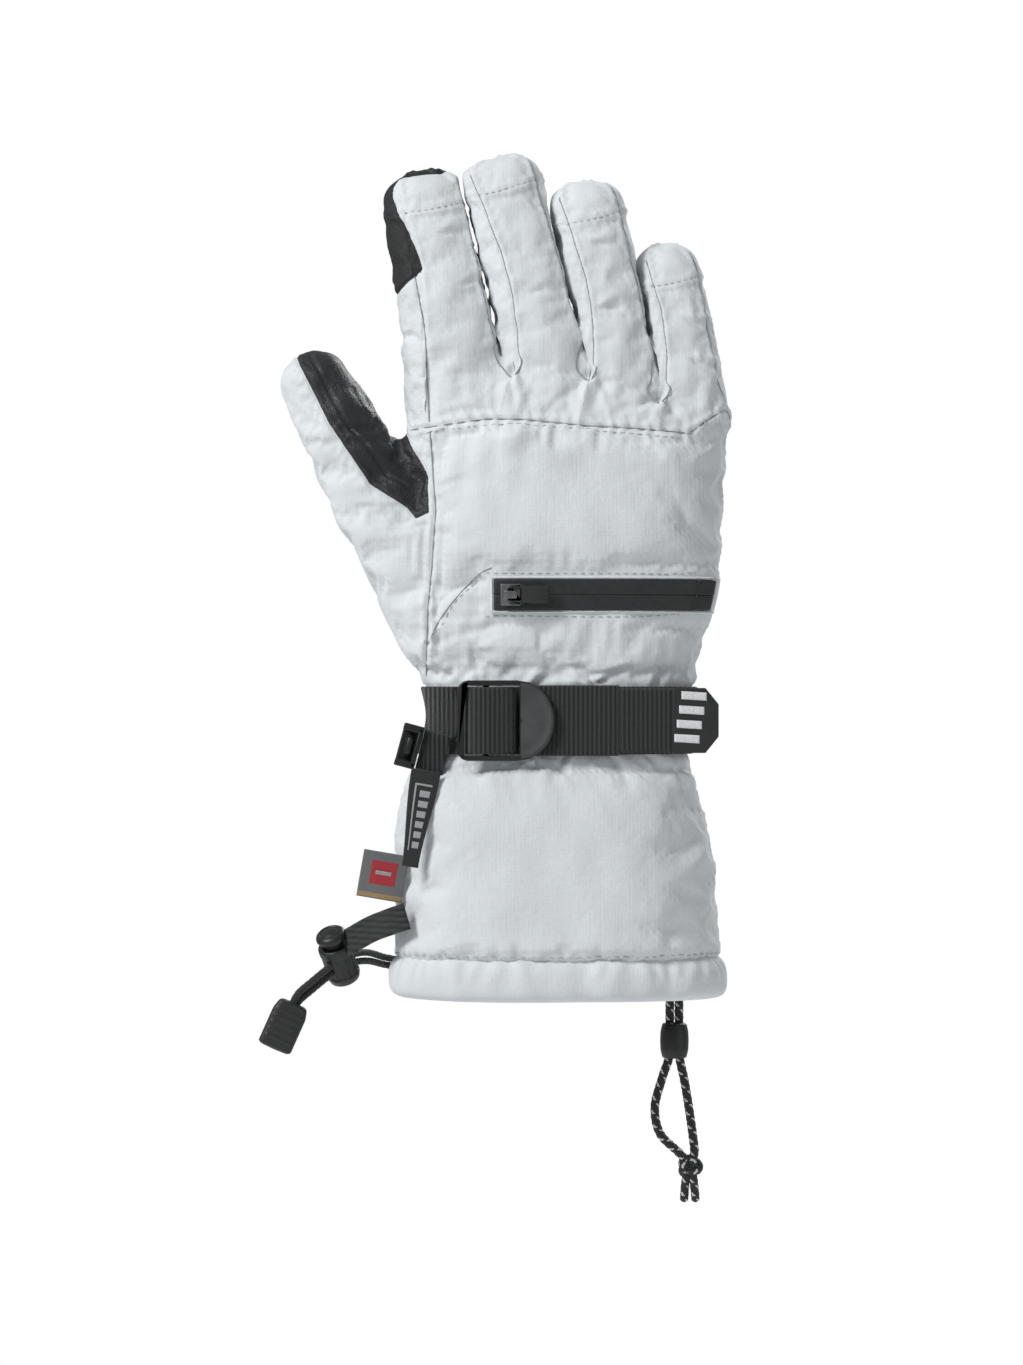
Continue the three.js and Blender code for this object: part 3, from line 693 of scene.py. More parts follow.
# Heights where the hand's skin ends in the wrist band, the palm's leather ends and the hem is sewn on.
WRIST_CUT = 137.0
PALM_BOTTOM = 107.0
HEM_SEAM = 14.0
# From this Y, and over this depth, the knuckle seam passes from its line on the back to its line on the palm.
TURN_Y, TURN_DEPTH = -9, 18


def knuckle_height(x, y):
    """The height of the seam between hand and fingers, on the back, the sides and the palm."""
    palmward = smooth_step((y - TURN_Y) / TURN_DEPTH)
    return BACK_KNUCKLE(x) * (1 - palmward) + PALM_UPPER(x) * palmward


def bell(distance, width):
    """1 at no distance, fading out smoothly."""
    return np.exp(-((distance / width) ** 2))


def groove(distance, depth, width):
    """A narrow valley along a line, from the distance to it."""
    return -depth * bell(distance, width)


def palm_split(x):
    """The height of the seam between the palm's middle and lower patch."""
    return 156.3 - 0.02 * x


def side_weight(y, reach=5):
    """1 on the back, 0 on the palm."""
    return smooth_step((-y + reach) / (2 * reach))


# The edge of the leather strip on the thumb's inner side, across the thumb at each distance up it.
STRIP_BACK = polyline([(0, 12), (13, 9.3), (27, 1), (54, -2.5), (79, -2.5), (90, -2)])
STRIP_PALM = polyline([(0, 24), (26, 22), (40, 12), (54, 5), (79, 0.5), (90, 0)])


def strip_edge(p):
    """Positive on the leather strip along the thumb's inner side, up to its tip."""
    s, u, v, _ = digit_coordinates(DIGITS["thumb"], *p.T)
    palmward = smooth_step((v + 5) / 10)
    return u - STRIP_BACK(s) * (1 - palmward) - STRIP_PALM(s) * palmward


def leather_edge(p):
    """Positive where the hand is leather: the palm, the heel of the thumb and the thumb's strip."""
    x, y, z = p.T
    s, u, _, _ = digit_coordinates(DIGITS["thumb"], x, y, z)
    # The strip ends at the edge of the hand on the back, and runs on into the palm.
    on_thumb = np.minimum(strip_edge(p), s - 8)
    on_thumb = np.minimum(on_thumb, np.where(y < 0, -55 - x - 0.4 * y, -42 - x))
    on_thumb = np.minimum(on_thumb, np.where(y < 4, 21 - u, 40))
    palm = np.minimum(x - HEEL_OUTER(z), 55.5 - x - 0.001 * np.minimum(z - 150, 0) ** 2)
    palm = np.minimum(palm, y - 2)
    palm = np.minimum(palm, np.where(z < 200, 40, 232 - z))
    low = np.minimum(z - PALM_BOTTOM, 48.5 - x + 0.12 * (z - PALM_BOTTOM))
    palm = np.minimum(palm, np.where(z < WRIST_CUT + 30, low, 40))
    return np.maximum(on_thumb, palm)


def knuckle_distance(p):
    """Distance above the seam that joins the fingers' panels to the hand."""
    x, y, z = p.T
    t = np.clip((y - TURN_Y) / TURN_DEPTH, 0, 1)
    slope = (PALM_UPPER(x) - BACK_KNUCKLE(x)) * 6 * t * (1 - t) / TURN_DEPTH
    return (z - knuckle_height(x, y)) / np.sqrt(1 + slope**2)


def knuckle_relief(p):
    """The relief that the hand and the fingers share along their seam, and how free of it a place is."""
    x, y, _ = p.T
    d = knuckle_distance(p)
    out = groove(d, 1.0, 0.9) + 0.4 * bell(d, 4.5)
    gather = np.sin(x * 2 * math.pi / 5.2 + 1.6 * ripple(p, 18, 6))
    out += side_weight(y) * 0.35 * gather * np.exp(-np.abs(d) / 5)
    return out, 1 - bell(d, 5)


def hand_detail(p):
    """Height to add to the hand and gauntlet skin, in millimetres."""
    x, y, z = p.T
    seam, free = knuckle_relief(p)
    on_thumb_top = smooth_step((-52 - x) / 6)
    free = np.maximum(free, on_thumb_top * (z < 240) * (y < 0))
    return seam * (free < 1) * (1 - on_thumb_top) + free * hand_folds(p)


def hand_folds(p):
    """Folds, gathers and seams of the hand, thumb and gauntlet."""
    back = side_weight(p[:, 1])
    around = hand_around(p)
    out = 0.55 * ripple(p, 46, 1) + 0.28 * ripple(p, 21, 2)
    out += wrist_folds(p, around, back)
    out += back_seams(p, back)
    out += palm_seams(p, 1 - back)
    out += thumb_folds(p, back)
    return out + hem_folds(p, around)


def hand_around(p):
    """Distance round the hand or gauntlet, in millimetres."""
    x, y, z = p.T
    left, right, half = smooth_table(SLEEVE, np.minimum(z, SLEEVE_LIMIT))
    return np.arctan2(y / half, (x - (left + right) / 2) / ((right - left) / 2)) * MEAN_RADIUS


def wrist_gathers(p, around):
    """Sharp folds that run out up and down from the strap."""
    z = p[:, 2]
    wander = around + 2.4 * np.sin(z / 7 + 1.3) + 1.5 * np.sin(z / 15)
    folds = np.zeros_like(z)
    random = np.random.default_rng(11)
    for pitch in (5.6, 8.3, 13.0):
        phase = random.uniform(0, 6.3)
        fold = np.abs(np.sin(math.pi * wander / pitch + phase + 0.8 * ripple(p, 30, int(pitch * 10))))
        folds += (0.5 - fold) * pitch / 9
    return folds


def wrist_folds(p, around, back):
    """Soft diagonal folds on the gauntlet, gathers at the wrist, and what the strap presses in."""
    z = p[:, 2]
    palm = 1 - back
    cuff = smooth_step((z - 14) / 14) * smooth_step((92 - z) / 20)
    out = cuff * 0.75 * ripple(p * (0.8, 0.8, 1.5), 34, 3)
    above = smooth_step((z - 112) / 6) * smooth_step((141 - z) / 20)
    below = smooth_step((94 - z) / 6) * smooth_step((z - 58) / 30)
    elastic = smooth_step((z - 88) / 8) * smooth_step((126 - z) / 8)
    share = 0.42 * back * (above + 0.7 * below) + palm * (1.15 * elastic + 0.55 * below + 0.35 * above)
    out += wrist_gathers(p, around) * share
    rows = np.cos((z - 90) * 2 * math.pi / 7.2)
    out += palm * elastic * 0.45 * rows
    out += back * sum(crease(p, *fold) for fold in STRAP_FOLDS)
    out += palm * sum(crease(p, *fold) for fold in HEEL_FOLDS)
    # The strap pulls the wrist in.
    return out - 0.9 * smooth_step((z - 88) / 5) * smooth_step((118 - z) / 5)


def back_seams(p, back):
    """The long seam and the pocket's curved seam on the back."""
    x, _, z = p.T
    long_seam = x - LONG_SEAM(z)
    on_long = back * smooth_step((z - 118) / 6)
    out = on_long * (groove(long_seam, 1.0, 0.9) + 0.45 * bell(long_seam, 4))
    pucker = np.sin(z * 2 * math.pi / 6.5 + 1.5 * ripple(p, 20, 5))
    out += on_long * 0.28 * pucker * np.exp(-np.abs(long_seam) / 4.5)
    arc = np.hypot(x + 27, z - 132.5) - 22
    on_arc = back * (x < -27) * (z > 131) * (x > -50)
    return out + on_arc * groove(arc, 0.7, 0.8)


def palm_seams(p, palm):
    """Seams and creases of the palm's leather."""
    x, _, z = p.T
    inner = x - HEEL_INNER(z)
    on_inner = palm * smooth_step((z - 112) / 5) * smooth_step((205 - z) / 8)
    out = on_inner * (groove(inner, 0.9, 0.8) + 0.35 * bell(inner, 4))
    lower = z - palm_split(x)
    on_lower = palm * (x > HEEL_INNER(z)) * (x < 56)
    out += on_lower * (groove(lower, 0.7, 0.7) + 0.4 * bell(lower - 1.8, 1.8))
    edge = leather_edge(p)
    out += groove(edge, 0.8, 0.8) + 0.3 * bell(edge, 3.5)
    creases = ripple(p * (1.0, 1.0, 0.55), 13, 8)
    return out + palm * 0.22 * np.clip(edge, 0, 4) / 4 * creases


def thumb_folds(p, back):
    """The seam of the thumb's leather strip, and folds at the thumb's crotch and heel."""
    x, y, z = p.T
    s, u, _, _ = digit_coordinates(DIGITS["thumb"], x, y, z)
    strip_seam = u - STRIP_BACK(s) - 5.5 - 2.5 * smooth_step((60 - s) / 40)
    on_strip = back * smooth_step((s - 14) / 6) * (x < -55.5)
    out = on_strip * (groove(strip_seam, 0.8, 0.8) + 0.45 * bell(strip_seam, 2.6))
    crotch = bell(s - 20, 14) * smooth_step((u + 10) / 16) * back
    out += crotch * 0.9 * ripple(p * (1.2, 1.0, 0.7), 15, 9)
    on_thumb = smooth_step((s - 12) / 18) * smooth_step((26 - np.abs(u)) / 6)
    return out + on_thumb * 0.4 * ripple(p * (0.7, 1, 1.5), 17, 10)


def hem_folds(p, around):
    """The hem's seam with its gathers, and the gauntlet's sewn-in side seams."""
    _, y, z = p.T
    out = groove(z - HEM_SEAM, 1.3, 1.1) + 0.5 * bell(z - 18.5, 4)
    gather = np.sin(around * 2 * math.pi / 6.1 + 1.4 * ripple(p, 22, 12))
    out += 0.26 * gather * np.exp(-np.abs(z - HEM_SEAM) / 4)
    side = np.minimum(np.abs(y - 3), np.abs(y + 60))
    return out + smooth_step((100 - z) / 8) * groove(side, 0.8, 0.8)


# How far round a finger its right seam is, and half the angle that its leather front takes up.
RIGHT_ANGLE = math.radians(38)
FRONT_SPREAD = math.radians(56)
# Where the shell's side walls end in the palm, below each gap between fingers.
PALM_NOTCHES = ((-19, 228), (9.5, 227), (36, 218))


def left_angle(t):
    """How far round the finger the left seam of its back is, from the root to the tip."""
    return np.radians(130 - 18 * np.sin(math.pi * np.clip(t, 0, 1)))


def finger_front(p, s, v, angle, arc, top):
    """Positive on a finger's leather front, which narrows to a gothic arch near the tip."""
    rise = np.clip((s - (top - 20)) / 20, 0, 1)
    spread = FRONT_SPREAD * (1 - rise**2.4)
    front = (spread - np.abs(angle - math.pi / 2)) * arc
    front = np.where(v < -6, -np.abs(front) - 4, front)
    front = np.minimum(front, top - s)
    # At the finger's root the leather's edge runs level along the side of the hand.
    at_root = smooth_step((24 - s) / 14)
    front = front * (1 - at_root) + (v - 5) * at_root
    front = np.minimum(front, 55.7 - p[:, 0])
    for x, z in PALM_NOTCHES:
        up = p[:, 2] - z
        notch = np.hypot(p[:, 0] - x + 0.24 * np.maximum(up - 3, 0), np.minimum(up - 3, 0)) - 2.7
        front = np.minimum(front, np.where((up > -4) & (up < 22), notch, 99))
    return front


def tip_drop(name):
    """How far below a finger's tip the seam across its back is."""
    return 15 if name == "middle" else 17


def finger_fields(name, p):
    """A finger's own coordinates and its seams: leather front, side seams and tip seam."""
    d = DIGITS[name]
    length = digit_frame(d)[3]
    s, u, v, t = digit_coordinates(d, *p.T)
    half, depth = digit_girth(d, t)
    angle = np.arctan2(v / depth, u / half)
    arc = half * 1.05
    front = finger_front(p, s, v, angle, arc, length - (5 if name == "index" else 7))
    # Positive on the back panel, negative on the side walls.
    left_at = left_angle(s / length)
    left = (angle + left_at) * arc
    left = np.where(angle > math.pi / 2, (angle + left_at - 2 * math.pi) * arc, left)
    right = -(angle + RIGHT_ANGLE) * arc
    tip = s - (length - tip_drop(name) + 1.5 * (u / half) ** 2)
    return dict(
        s=s, u=u, v=v, length=length, angle=angle, arc=arc, front=front, left=left, right=right, tip=tip
    )


def cap_edge(f):
    """Positive on the index finger's touch cap."""
    down = smooth_step((f["length"] - f["s"]) / 40)
    grey_from, grey_to = np.radians(-141 + 32 * down), math.radians(8)
    middle, spread = (grey_from + grey_to) / 2, (grey_to - grey_from) / 2
    off_back = (np.abs(np.angle(np.exp(1j * (f["angle"] - middle)))) - spread) * f["arc"]
    tip = f["s"] - (f["length"] - 2.3)
    low = f["s"] - (f["length"] - 42) - 0.55 * (f["u"] + 12) * (f["v"] < 0)
    return np.minimum(np.maximum(off_back, tip), low)


def front_panel(f):
    """Positive on the inner panel of the index finger, inside the cap's piped arch."""
    rise = np.clip((f["s"] - (f["length"] - 40)) / 22, 0, 1)
    spread = FRONT_SPREAD * (1 - rise**2.2)
    return np.minimum((spread - np.abs(f["angle"] - math.pi / 2)) * f["arc"], f["length"] - 17 - f["s"])


def finger_detail(name, p):
    """Height to add to a finger's skin, in millimetres."""
    seam, free = knuckle_relief(p)
    return seam + free * finger_folds(name, p)


# Folds on the back of the fingers: where each starts and ends in X and Z, its depth and width.
FOLDS = (
    ((-18, 233), (-18.5, 218), 1.1, 1.3),
    ((-18, 233), (-30, 219), 0.9, 2.0),
    ((-17, 233), (-6, 222), 0.8, 1.8),
    ((10, 231), (-3, 217), 1.7, 2.2),
    ((11, 231), (12, 218), 0.8, 1.5),
    ((12, 231), (21, 222), 1.0, 2.0),
    ((36, 223), (20, 216), 1.9, 2.4),
    ((36.5, 222), (31, 211), 1.5, 1.8),
    ((38, 222), (47, 212), 1.1, 1.5),
    ((15, 280), (25, 279.5), 1.0, 1.8),
    ((17, 256), (27, 257.5), 1.1, 2.0),
    ((-33, 266), (-27, 268), 0.8, 1.8),
    ((-42, 284), (-33, 286), 0.9, 1.8),
    ((49, 251), (56, 248), 1.0, 1.6),
    ((51, 236), (60, 232), 1.2, 1.8),
    ((-58, 246), (-51, 244), 0.7, 1.6),
    ((-8, 262), (0, 264), 0.9, 2.0),
    ((-58, 226), (-50, 228), 0.7, 1.6),
)


# Folds that the strap presses into the back of the wrist and the gauntlet.
STRAP_FOLDS = (
    ((1.8, 90), (-2.2, 82), 1.5, 1.7),
    ((-11, 90), (-9, 84), 1.0, 1.6),
    ((18.6, 90), (25, 80), 1.5, 1.7),
    ((33.6, 89), (39, 83), 1.1, 1.8),
    ((44.5, 81), (52.5, 71), 1.5, 1.9),
    ((-28, 90), (-31, 82), 0.9, 2.0),
    ((-9.4, 116), (0, 122.5), 1.4, 1.7),
    ((12, 116), (9, 124), 1.4, 1.6),
    ((15, 117), (25, 121), 1.2, 1.7),
    ((-49, 121), (-36, 116), 1.1, 1.8),
    ((-48, 131.5), (-26, 137), 1.0, 2.4),
    ((36, 116), (40, 124), 1.1, 1.9),
    ((52, 134), (41, 138), 0.9, 2.2),
    ((-30, 116), (-34, 126), 0.8, 2.0),
    ((50, 58), (30, 46), 0.7, 4.0),
    ((-50, 40), (-28, 52), 0.6, 4.0),
    ((40, 22), (46, 40), 0.6, 3.4),
    ((46, 178), (34, 196), 0.9, 3.2),
    ((-46, 172), (-30, 168), 0.7, 2.6),
)


# Folds across the grey heel of the thumb on the palm side.
HEEL_FOLDS = (
    ((-39, 181), (-63, 170), 1.3, 2.2),
    ((-37, 172), (-60, 160), 1.0, 2.4),
    ((-32, 150), (-52, 146), 0.9, 2.2),
    ((-26, 139), (-46, 135), 1.2, 2.2),
    ((-24, 128), (-44, 124), 1.0, 2.0),
    ((-50, 197), (-66, 192), 0.8, 2.0),
    ((10, 196), (-12, 176), 0.9, 5.0),
    ((40, 190), (44, 166), 0.8, 4.0),
)


def crease(p, start, end, depth, width):
    """One fold: a valley with a soft ridge beside it, fading out at its far end."""
    ax, az = start
    run = np.array((end[0] - ax, end[1] - az), float)
    length = np.hypot(*run)
    run /= length
    along = (p[:, 0] - ax) * run[0] + (p[:, 2] - az) * run[1]
    off = -(p[:, 0] - ax) * run[1] + (p[:, 2] - az) * run[0] + 0.08 * ripple(p, 9, 44) * along
    t = np.clip(along / length, 0, 1)
    beyond = np.maximum(np.maximum(-along, along - length), 0)
    fade = bell(beyond, 2.5) * (1 - 0.6 * t)
    spread = width * (0.6 + 0.9 * t)
    valley = -bell(off, spread)
    ridge = 0.7 * bell(off - 2.1 * spread, 1.3 * spread)
    return depth * fade * (valley + ridge)


def crotch_folds(p):
    """The folds that fan out from between the fingers, and the dents where they bend."""
    return side_weight(p[:, 1]) * sum(crease(p, *fold) for fold in FOLDS)


def seam_relief(d, height=0.3):
    """A sewn edge: a narrow valley, with the panel on its positive side standing a little higher."""
    step = height * np.tanh(d / 0.5) * np.exp(-np.abs(d) / 3.5)
    return groove(d, 0.7, 0.65) + step


def finger_folds(name, p):
    """Folds and seams of one finger. Near its root they depend on place alone, so neighbours meet."""
    f = finger_fields(name, p)
    x, y, z = p.T
    back = smooth_step((-f["v"] + 4) / 8)
    on_finger = smooth_step((f["s"] + 1) / 8)
    out = 0.2 * ripple(p, 30, 20 + len(name)) + 0.05 * ripple(p, 12, 30 + len(name))
    sides = smooth_step((f["length"] - 3 - f["s"]) / 8)
    for key in ("left", "right"):
        seam = f[key]
        pucker = np.sin(f["s"] * 2 * math.pi / 6.2 + 1.4 * ripple(p, 16, 41))
        out += sides * (seam_relief(seam) + 0.1 * pucker * np.exp(-np.abs(seam) / 3))
    facing = smooth_step((-f["v"] - 4) / 5)
    out += facing * (groove(f["tip"], 0.5, 0.65) + 0.08 * bell(f["tip"], 3))
    edge = f["front"]
    out += (f["v"] > -6) * (groove(edge, 0.8, 0.75) + 0.25 * bell(edge, 3))
    if name == "index":
        cap = cap_edge(f)
        out += groove(cap, 0.6, 0.6) + 0.35 * bell(cap - 2, 1.8)
        panel = front_panel(f)
        out += np.where(f["v"] > 0, groove(panel, 0.8, 0.6) + 0.7 * bell(panel + 1.7, 1.1), 0)
    # The front creases where the finger bends.
    bend = np.sin(f["s"] * 2 * math.pi / 9 + 0.8 * ripple(p, 18, 51))
    out += (1 - back) * 0.32 * bend * bell(f["s"] - 30, 26)
    long_seam = x - LONG_SEAM(z)
    shared = side_weight(y) * groove(long_seam, 0.8, 0.8) * smooth_step((292 - z) / 6)
    shared += side_weight(y) * 0.3 * ripple(p * (1.5, 1, 0.45), 12, 61) * bell(z - 228, 16)
    return on_finger * out + shared + crotch_folds(p)


# ---------------------------------------------------------------- skins
def core_field(g):
    """The hand and gauntlet with the stubs of the four fingers, shared by every skin so that seams meet."""
    field = g.distance(sleeve_rho(g.x, g.y, g.z))
    for name in FINGERS:
        stub = g.distance(digit_rho(DIGITS[name], g.x, g.y, g.z, top=16))
        field = soft_union(field, stub, 5)
    return field


def hand_field_on(g):
    """The hand and gauntlet with the thumb."""
    thumb = g.distance(digit_rho(DIGITS["thumb"], g.x, g.y, g.z))
    # The heel of the thumb narrows into the wrist.
    heel = (g.x + 73.6) * -0.86 + (g.z - 154) * -0.51
    thumb = -soft_union(-thumb, -heel, 8)
    return soft_union(core_field(g), thumb, 9)


def digit_alone(g, name):
    """A digit's own outside, pressed flat against its neighbours."""
    rho = digit_rho(DIGITS[name], g.x, g.y, g.z)
    own = g.distance(rho)
    if name not in FINGERS:
        return own
    i = FINGERS.index(name)
    for other in FINGERS[max(0, i - 1) : i] + FINGERS[i + 1 : i + 2]:
        shared = (rho - digit_rho(DIGITS[other], g.x, g.y, g.z)) * 7 + 0.2
        own = -soft_union(-own, -shared, 0.9)
    return own


def finger_field_on(g, name):
    """One finger growing out of the hand."""
    s = digit_coordinates(DIGITS[name], g.x, g.y, g.z)[0]
    return soft_union(core_field(g), digit_alone(g, name), 0.3 + 5 * smooth_step((s - 2) / 12))


def finger_box(name):
    """Two corners of a box round a finger and its part of the hand."""
    d = DIGITS[name]
    reach = d["wide"][0] + 16
    low = (min(d["base"][0], d["tip"][0]) - reach, -27, 184)
    return low, (max(d["base"][0], d["tip"][0]) + reach, 31, d["tip"][1] + 6)


HAND_BOX = ((-114, -38, -6), (70, 38, 258))


def displaced(points, triangles, heights, shift=0.0):
    """A skin with its relief, and the normals of the whole of it."""
    moved = points + normals_of(points, triangles) * heights[:, None] + shift
    return moved, triangles, {"base": points, "normal": normals_of(moved, triangles)}


def hand_seams(p):
    """Distance to the nearest seam on the hand and gauntlet, in millimetres."""
    x, y, z = p.T
    back = y < 2
    far = np.full(len(p), 99.0)
    zip_box = np.maximum(np.abs(z - 149.2) - 8.5, np.maximum(-27 - x, x - 58))
    hem_line = np.abs(z - HEM_SEAM + 2)
    strap = np.where(back, np.abs(z - 103) - 14.5, np.abs(z - 96) - 9)
    long_seam = np.where(back & (z > 118), np.abs(x - LONG_SEAM(z)), far)
    heel = np.where(back, far, np.abs(x - HEEL_INNER(z)))
    split = np.where(back | (x < HEEL_INNER(z)), far, np.abs(z - 156.3 + 0.02 * x))
    side_seam = np.where(z < 100, np.abs(y - 3), far)
    # The sides of the hand stay where they are.
    hand_side = np.where((x > 45) & (z > 118), np.abs(y + 2) + 1.3, far)
    pocket = np.where(back, zip_box, far)
    knuckle, leather = np.abs(knuckle_distance(p)), np.abs(leather_edge(p))
    nearest = np.minimum.reduce(
        [far, hem_line, strap, long_seam, knuckle, pocket, leather, heel, split, side_seam, hand_side]
    )
    return np.maximum(nearest, 0)


# Lines that part each finger's panels from its neighbour's, below their crotch: an upper and a lower point.
CROTCHES = {
    ("index", "middle"): ((-17.5, 233), (-24, 206)),
    ("middle", "ring"): ((11, 231), (6, 206)),
    ("ring", "little"): ((36.8, 222), (33.5, 200)),
}


def parting_line(pair, p):
    """How far right of the line between two fingers a place is."""
    high, low = CROTCHES[pair]
    slope = (high[0] - low[0]) / (high[1] - low[1])
    return p[:, 0] - (low[0] + slope * (np.minimum(p[:, 2], high[1]) - low[1]))


def finger_seams(name, p):
    """Distance to the nearest seam on a finger's skin, in millimetres."""
    f = finger_fields(name, p)
    d = np.minimum(np.abs(f["left"]), np.abs(f["right"]))
    d = np.minimum(d, np.abs(knuckle_distance(p)))
    d = np.minimum(d, np.where(f["v"] < 0, np.abs(f["tip"]), np.abs(f["front"])))
    for pair in CROTCHES:
        if name in pair:
            d = np.minimum(d, np.where(f["s"] < 8, np.abs(parting_line(pair, p)), 99))
    return np.where(p[:, 2] < knuckle_height(p[:, 0], p[:, 1]) - 3, 0, d)


# The simulation runs on a coarse skin, one unit to 100 mm, and moves it by MOST_MOVE millimetres at most.
SIM_SCALE = 0.01
SIM_VOXEL = 2.7
SIM_FRAMES = 16
MOST_MOVE = 2.4


def cloth_skin(start, triangles, held):
    """The coarse skin as an object, with its seams as a pinned group."""
    data = bpy.data.meshes.new("cloth_pass")
    data.from_pydata((start * SIM_SCALE).tolist(), [], triangles.tolist())
    skin = bpy.data.objects.new("cloth_pass", data)
    bpy.context.scene.collection.objects.link(skin)
    pins = skin.vertex_groups.new(name="seams")
    for level in np.unique(np.round(held, 1)):
        if level > 0:
            pins.add(np.flatnonzero(np.round(held, 1) == level).tolist(), float(level), "REPLACE")
    return skin


def add_cloth(skin, pressure, spare):
    """A light padded nylon: cloth with some spare area, blown up a little from inside."""
    cloth = skin.modifiers.new("cloth", "CLOTH")
    settings = cloth.settings
    settings.quality = 5
    settings.mass = 0.25
    settings.tension_stiffness = 18
    settings.compression_stiffness = 18
    settings.shear_stiffness = 6
    settings.bending_stiffness = 0.35
    settings.air_damping = 6
    settings.shrink_min = -spare
    settings.use_pressure = True
    settings.uniform_pressure_force = pressure
    settings.vertex_group_mass = "seams"
    settings.pin_stiffness = 1
    settings.effector_weights.gravity = 0
    cloth.collision_settings.use_collision = False
    cloth.point_cache.frame_start = 1
    cloth.point_cache.frame_end = SIM_FRAMES


def cloth_pass(build_field, box, seams, pressure, spare):
    """Cloth simulation of one skin held along its seams: where its points were and how they moved."""
    g = Grid(*box, step=SIM_VOXEL)
    points, triangles = skin_of(build_field(g), g)
    held = 1 - smooth_step((seams(points) - 0.8) / 2.2)
    lift = 0.2 * ripple(points, 14, 77) - 1.0 * (1 - held)
    start = points + normals_of(points, triangles) * lift[:, None]
    skin = cloth_skin(start, triangles, held)
    add_cloth(skin, pressure, spare)
    scene = bpy.context.scene
    for number in range(1, SIM_FRAMES + 1):
        scene.frame_set(number)
    settled = skin.evaluated_get(bpy.context.evaluated_depsgraph_get())
    moved = np.zeros(len(points) * 3)
    settled.data.vertices.foreach_get("co", moved)
    bpy.data.objects.remove(skin)
    scene.frame_set(1)
    move = moved.reshape(-1, 3) / SIM_SCALE - points
    reach = np.linalg.norm(move, axis=1)[:, None]
    return points, move * np.minimum(1, MOST_MOVE / np.maximum(reach, 1e-6))


def carried(points, cloth):
    """The cloth pass's moves, read at the fine skin's points."""
    if cloth is None:
        return 0.0
    places, moves = cloth
    tree = KDTree(len(places))
    for i, place in enumerate(places.tolist()):
        tree.insert(place, i)
    tree.balance()
    found = [tree.find_n(p, 5) for p in points.tolist()]
    index = np.array([[f[1] for f in row] for row in found])
    weight = 1 / (np.array([[f[2] for f in row] for row in found]) + 0.15) ** 2
    weight /= weight.sum(1, keepdims=True)
    return (moves[index] * weight[..., None]).sum(1)


def make_skin(build_field, box, detail, seams, pressure, spare):
    """A skin with its folds and seams, and with the cloth pass's moves."""
    cloth = None
    cloth = cloth_pass(build_field, box, seams, pressure, spare)
    g = Grid(*box)
    points, triangles = skin_of(build_field(g), g)
    return displaced(points, triangles, detail(points), carried(points, cloth))


hand_mesh = make_skin(hand_field_on, HAND_BOX, hand_detail, hand_seams, pressure=1.6, spare=0.035)
finger_meshes = {}
for name in FINGERS:
    finger_meshes[name] = make_skin(
        lambda g, name=name: finger_field_on(g, name),
        finger_box(name),
        lambda p, name=name: finger_detail(name, p),
        lambda p, name=name: finger_seams(name, p),
        pressure=2.2,
        spare=0.015,
    )


def add_object(name, data, body=None):
    """A mesh as a named piece, riding one body if it's given."""
    made = bpy.data.objects.new(name, data)
    bpy.context.scene.collection.objects.link(made)
    if body:
        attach(made, body)
    return made


def piece(name, mesh, material, body=None):
    """A mesh object in metres with the whole skin's normals, so that cut edges shade without a line."""
    points, triangles, extra = mesh
    data = bpy.data.meshes.new(name)
    data.from_pydata((points * MM).tolist(), [], triangles.tolist())
    data.materials.append(material)
    data.shade_smooth()
    if "normal" in extra:
        normal = extra["normal"]
        normal = normal / np.maximum(np.linalg.norm(normal, axis=1), 1e-9)[:, None]
        data.normals_split_custom_set_from_vertices(normal.tolist())
    return add_object(name, data, body)


def cut(mesh, *values):
    """The part of a mesh where each function of its undisplaced points is positive."""
    for value in values:
        mesh = keep_where(mesh, value(mesh[2]["base"]))
    return mesh


def flipped(value):
    """The same function with its sign turned, to keep the other side of a cut."""
    return lambda p: -value(p)


def below_knuckle(p):
    """Positive below the seam between hand and fingers."""
    return knuckle_height(p[:, 0], p[:, 1]) - p[:, 2]


def hand_region(p):
    """Positive below the knuckle seam, and everywhere on the thumb."""
    on_thumb = np.minimum(-50 - p[:, 0] - 0.25 * np.maximum(205 - p[:, 2], 0), 262 - p[:, 2])
    return np.maximum(below_knuckle(p), on_thumb)


def above_wrist(p):
    return p[:, 2] - WRIST_CUT


upper_hand = cut(hand_mesh, hand_region, above_wrist)
grey_hand = cut(upper_hand, flipped(leather_edge))
black_hand = cut(upper_hand, leather_edge)


def back_part(p):
    """Positive on the back panel: right of the long seam, round the little-finger side to the leather."""
    return p[:, 0] - LONG_SEAM(p[:, 2])


def heel_part(p):
    """Positive on the leather that runs from the palm up the thumb."""
    return HEEL_INNER(p[:, 2]) - p[:, 0]


hand_back = piece("hand_back_skin", cut(grey_hand, back_part), SHELL, "hand")
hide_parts("hand_back_panel")
thumb_skin = piece("thumb_skin", cut(grey_hand, flipped(back_part)), SHELL)
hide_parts("thumb_back_shell", "thumb_heel_shell")
thumb_strip = piece("thumb_leather", cut(black_hand, heel_part), PALM)
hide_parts("thumb_palm_leather")
palm_patches = cut(black_hand, flipped(heel_part))


def lower_line(p):
    return p[:, 2] - palm_split(p[:, 0])


palm_middle = piece("palm_middle_skin", cut(palm_patches, lower_line), PALM, "hand")
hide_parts("palm_patch_middle")
palm_lower = piece("palm_lower_skin", cut(palm_patches, flipped(lower_line)), PALM, "hand")
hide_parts("palm_patch_lower")


for made in (thumb_skin, thumb_strip):
    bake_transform(made)

def wrist_part(p):
    return np.minimum(WRIST_CUT - p[:, 2], p[:, 2] - PALM_BOTTOM)


